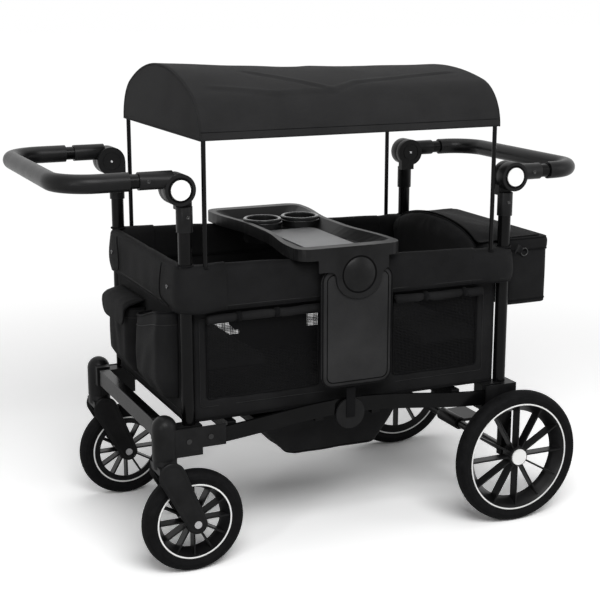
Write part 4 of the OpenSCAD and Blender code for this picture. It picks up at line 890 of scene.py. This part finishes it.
FRONT_SEAT_FOLD, REAR_SEAT_FOLD = (-0.324, 0.1), (0.396, 0.25)
for end, x0, fold in (("front", -323.7, FRONT_SEAT_FOLD), ("rear", 218.2, REAR_SEAT_FOLD)):
    cushion(f"{end}_seat_cushion", pulled(172, 456, 20, 6), 32, 14, lambda p, q, d: (x0 + 89 + p, q, 430.6 + d), 6,
            CLOTH, f"{end}_frame", f"{end}_seat", lambda co: smooth_step(co[:, 2], 431, 440), (0, 1), squash=fold)
cushion("front_back_cushion", pulled(400, 184, 30, 5), 26, 11, lambda p, q, d: (-343.4 + d, p, 562 + q), 5,
        PAD, "front_frame", "front_seat", lambda co: smooth_step(co[:, 0], -343, -336), (1, 2), squash=FRONT_SEAT_FOLD)
bow = np.linspace(0, math.pi, 40)
bow = np.vstack([[[-188, -114], [188, -114]], np.stack([202 * np.cos(bow), 48 + 64 * np.sin(bow)], 1)])
cushion("rear_back_cushion", resample(bow, 120, closed=True), 26, 11, lambda p, q, d: (387.9 - d, p, 583 + q), 6,
        PAD, "rear_frame", "rear_backrest", lambda co: smooth_step(388 - co[:, 0], 0, 8), (1, 2))

PAD_X, PAD_Y, PAD_Z = 32, 273.4, 511.9
for side, name in SIDES:
    line = resample(round_rect(-89, -136.5, 89, 136.5, 30, 8), 120, closed=True)
    pad = cushion(f"{name}_side_pad", line, 11, 5.0, lambda p, q, d: (PAD_X + p, side * (PAD_Y + d), PAD_Z + q), 2.4,
                  BIB, "tray", "side_pads", lambda co: smooth_step(np.abs(co[:, 1]), 273.5, 276), (0, 2),
                  voxel=4.0)
    strap = webbing(f"{name}_pad_strap", points(22, side * 272.9, np.linspace(374, 304, 14)), (1, 0, 0), 22, 1.8)
    fit(strap, TRIM, "tray")
    co = coords(pad.data) / MM
    # an outer bead of binding, then an inner near-black line that is painted shade in the seam's groove
    for k, (inset, r, mat) in enumerate(((5, 1.7, TRIM), (15, 1.0, GAP_SHADE))):
        w, h = 89 - inset, 136 - inset
        loop = resample(round_rect(-w, -h, w, h, 30 - inset, 8), 160, closed=True) + [PAD_X, PAD_Z]
        # the seam lies on the pad's face: its outermost points nearby, evened out along the loop
        face = [side * np.max(side * co[np.hypot(co[:, 0] - x, co[:, 2] - z) < 6, 1], initial=281.0) for x, z in loop]
        face = np.convolve(np.r_[face[-3:], face, face[:3]], np.ones(7) / 7, "valid")
        seam = tube(f"{name}_pad_seam_{k}", points(loop[:, 0], face, loop[:, 1]), r, 7, closed=True)
        fit(seam, mat, "tray")


# Small fittings

def turned(name, centre, axis, profile, n, mat, body):
    """A turned fitting: a profile of radius and height, carried round an axis."""
    axis = np.array(axis, float)
    u = np.cross(axis, [0, 0, 1.0] if abs(axis[2]) < 0.9 else [1.0, 0, 0])
    v = np.cross(axis, u)
    c, s = (q[:, None] for q in circle(n, 1.0))
    rows = [centre + axis * h + r * (c * u + s * v) for r, h in profile]
    return fit(grid(name, rows, wrap_v=True), mat, body)


def screw(name, centre, axis, r, h, mat, body, recess, edge=0.6):
    """A low round head with a softened edge and a driver recess."""
    low = h - recess
    profile = ((0.01, low), (r * 0.42, low), (r * 0.45, h), (r - edge, h), (r - 0.3 * edge, h - 0.3 * edge),
               (r, h - edge), (r, 0))
    turned(name, centre, axis, profile, 24, mat, body)


def ring(name, centre, axis, r, wide, high, mat, body, n=64):
    """A flat raised ring with rounded edges, such as a pinstripe, a cup's rim or a near-black ring of painted shade
    round a part.
    """
    half = ((0.5, 0), (0.5, 0.6), (0.3, 1))
    profile = [(r + wide * a, high * b) for a, b in half] + [(r - wide * a, high * b) for a, b in half[::-1]]
    turned(name, centre, axis, profile, n, mat, body)


for end, (x, y, z), r in WHEELS:
    for side, name in SIDES:
        for face in (-1, 1):
            ring(f"{end}_{name}_wheel_pinstripe_{'in' if face != side else 'out'}", (x, side * y + face * 15.7, z),
                 (0, face, 0), r + 1.2, 3.4, 0.8, WHITE, f"{end}_{name}_wheel", 96)
# x and z of each end's canopy socket, handle sleeve and hinge
FITTINGS = (("front", (-346, 777), (-431, 857), (-364, 836)), ("rear", (427, 757), (487, 824), (436, 816)))
for side, name in SIDES:
    out = (0, side, 0)
    for end, socket, sleeve, hinge in FITTINGS:
        start, body, handle = f"{end}_{name}", f"{end}_frame", f"{end}_handle"
        screw(f"{start}_socket_screw", (socket[0], side * 257.3, socket[1]), out, 4.2, 1.4, GLOSS, body, 0.9)
        screw(f"{start}_sleeve_screw", (sleeve[0], side * 267.2, sleeve[1]), out, 4.2, 1.4, GLOSS, handle, 0.9)
        screw(f"{start}_hinge_screw", (hinge[0], side * 222.2, hinge[1]), (0, -side, 0), 3.0, 1.4, STEEL, body, 0.8)
        # a near-black ring round each hinge button: painted shade in the gap round the button
        ring(f"{start}_button_gap_shade", (hinge[0], side * 267.9, hinge[1]), out, 24.4, 3.6, 0.9, GAP_SHADE, handle)
    # a near-black ring round each tray disc: painted shade in the gap round the disc
    ring(f"tray_{name}_disc_gap_shade", (32, side * 290.2, 631.75), out, 40.0, 3.6, 0.6, GAP_SHADE, "tray")
    screw(f"{name}_collar_snap", (-375.2, side * 202, 624), (-1, 0, 0), 5.0, 3.0, GLOSS, "front_frame", 0.8, 1.2)
for k, x in enumerate((-35, 63)):
    ring(f"cup_ring_{k}", (x, 95, 696.4), (0, 0, 1), 41.5, 7.0, 2.6, GLOSS, "tray")
    ring(f"cup_step_{k}", (x, 95, 689.5), (0, 0, 1), 46.5, 5.0, 2.2, GLOSS, "tray")


# Rounded covers on the blades of the caster forks

CROWN, AXLE = (-401.0, 232.0), (-346.0, 115.0)
# how far each loop lies outside the blade's outline, and its height over the blade
COVER = ((-0.4, 0.15), (0, 1.0), (-0.5, 1.9), (-1.8, 2.5), (-5, 2.9), (-6.5, 3.0), (-7.2, 2.4), (-9.5, 2.4), (-13, 2.9),
         (-16.2, 3.1))
turn = math.degrees(math.atan2(AXLE[1] - CROWN[1], AXLE[0] - CROWN[0]))
for side, name in SIDES:
    for face in (-1, 1):
        loops = []
        for grow, h in COVER:
            line = np.vstack([arc(*CROWN, 30 + grow, turn + 90, turn + 270, 24),
                              arc(*AXLE, 22.4 + grow, turn - 90, turn + 90, 16)])
            x, z = resample(line, 80, closed=True).T
            loops.append(points(x, side * 250 + face * (32 + h), z))
        cover = grid(f"{name}_fork_cover_{'in' if face != side else 'out'}", loops, wrap_v=True, ends=True)
        fit(clean(cover), PLASTIC, f"{name}_fork")


# Floor: the camera sees it white with the object's shadow, and white alone far away

m, nt, bsdf, where = material("floor_white")
nt.nodes.remove(bsdf)
diffuse = put(nt, "BsdfDiffuse", {"Color": (0.86, 0.86, 0.86, 1)}).outputs[0]
paler = put(nt, "BsdfDiffuse", {"Color": (0.62, 0.62, 0.62, 1)}).outputs[0]
glow = put(nt, "Emission", {"Color": (1, 1, 1, 1), "Strength": 1.02}).outputs[0]
far = stepped(nt, put(nt, "VectorMath", {0: where}, operation="LENGTH").outputs["Value"], 1.1, 2.6)
both = put(nt, "AddShader", {0: diffuse, 1: paler}).outputs[0]
camera_ray = put(nt, "LightPath").outputs["Is Camera Ray"]
near = put(nt, "MixShader", {0: camera_ray, 1: diffuse, 2: both}).outputs[0]
plug(nt, nt.nodes["Material Output"], {"Surface": put(nt, "MixShader", {0: far, 1: near, 2: glow}).outputs[0]})
FLOOR = 30000
floor = grid("floor", [[(x, y, 0) for y in (-FLOOR, FLOOR)] for x in (FLOOR, -FLOOR)])
floor.data.materials.append(m)


# World, lamps and camera

world = bpy.data.worlds.new("studio")
scene.world = world
world.use_nodes = True
nt = world.node_tree
back = plug(nt, nt.nodes["Background"], {"Color": (1, 1, 1, 1), "Strength": 0.20}).outputs[0]
white = put(nt, "Background", {"Color": (1, 1, 1, 1), "Strength": 1.0}).outputs[0]
rays = put(nt, "LightPath").outputs
shown = maths(nt, "MAXIMUM", rays["Is Camera Ray"], rays["Is Transmission Ray"])
shown = maths(nt, "MAXIMUM", shown, rays["Is Glossy Ray"])
plug(nt, nt.nodes["World Output"], {"Surface": put(nt, "MixShader", {0: shown, 1: back, 2: white}).outputs[0]})

for name, place, aim, size, power in (("key", (-0.6, -2.9, 3.1), (0, 0, 0.5), (2.6, 1.8), 108),
                                      ("top", (0.3, 0.5, 3.8), (0, 0, 0.4), (3.0, 3.0), 34),
                                      ("strip", (-2.9, -2.4, 1.55), (-0.2, 0, 0.55), (0.16, 1.9), 17),
                                      ("right", (2.8, -2.0, 1.6), (0.2, 0, 0.5), (1.2, 2.0), 11)):
    light = bpy.data.lights.new(name, "AREA")
    light.shape, light.energy = "RECTANGLE", power
    light.size, light.size_y = size
    lamp = bpy.data.objects.new(name, light)
    lamp.location = place
    lamp.rotation_euler = (Vector(aim) - Vector(place)).to_track_quat("-Z", "Y").to_euler()
    scene.collection.objects.link(lamp)

# The photograph's viewpoint, from a pinhole camera fitted to its points
camera = bpy.data.objects.new("camera", bpy.data.cameras.new("camera"))
camera.location = (-1.23674, -2.79218, 1.24548)
camera.rotation_euler = (math.radians(90 - 13.47), 0, math.radians(-24.25))
camera.data.sensor_width = 36
camera.data.lens = 79.63
scene.collection.objects.link(camera)
scene.camera = camera
scene.view_settings.view_transform = "Standard"
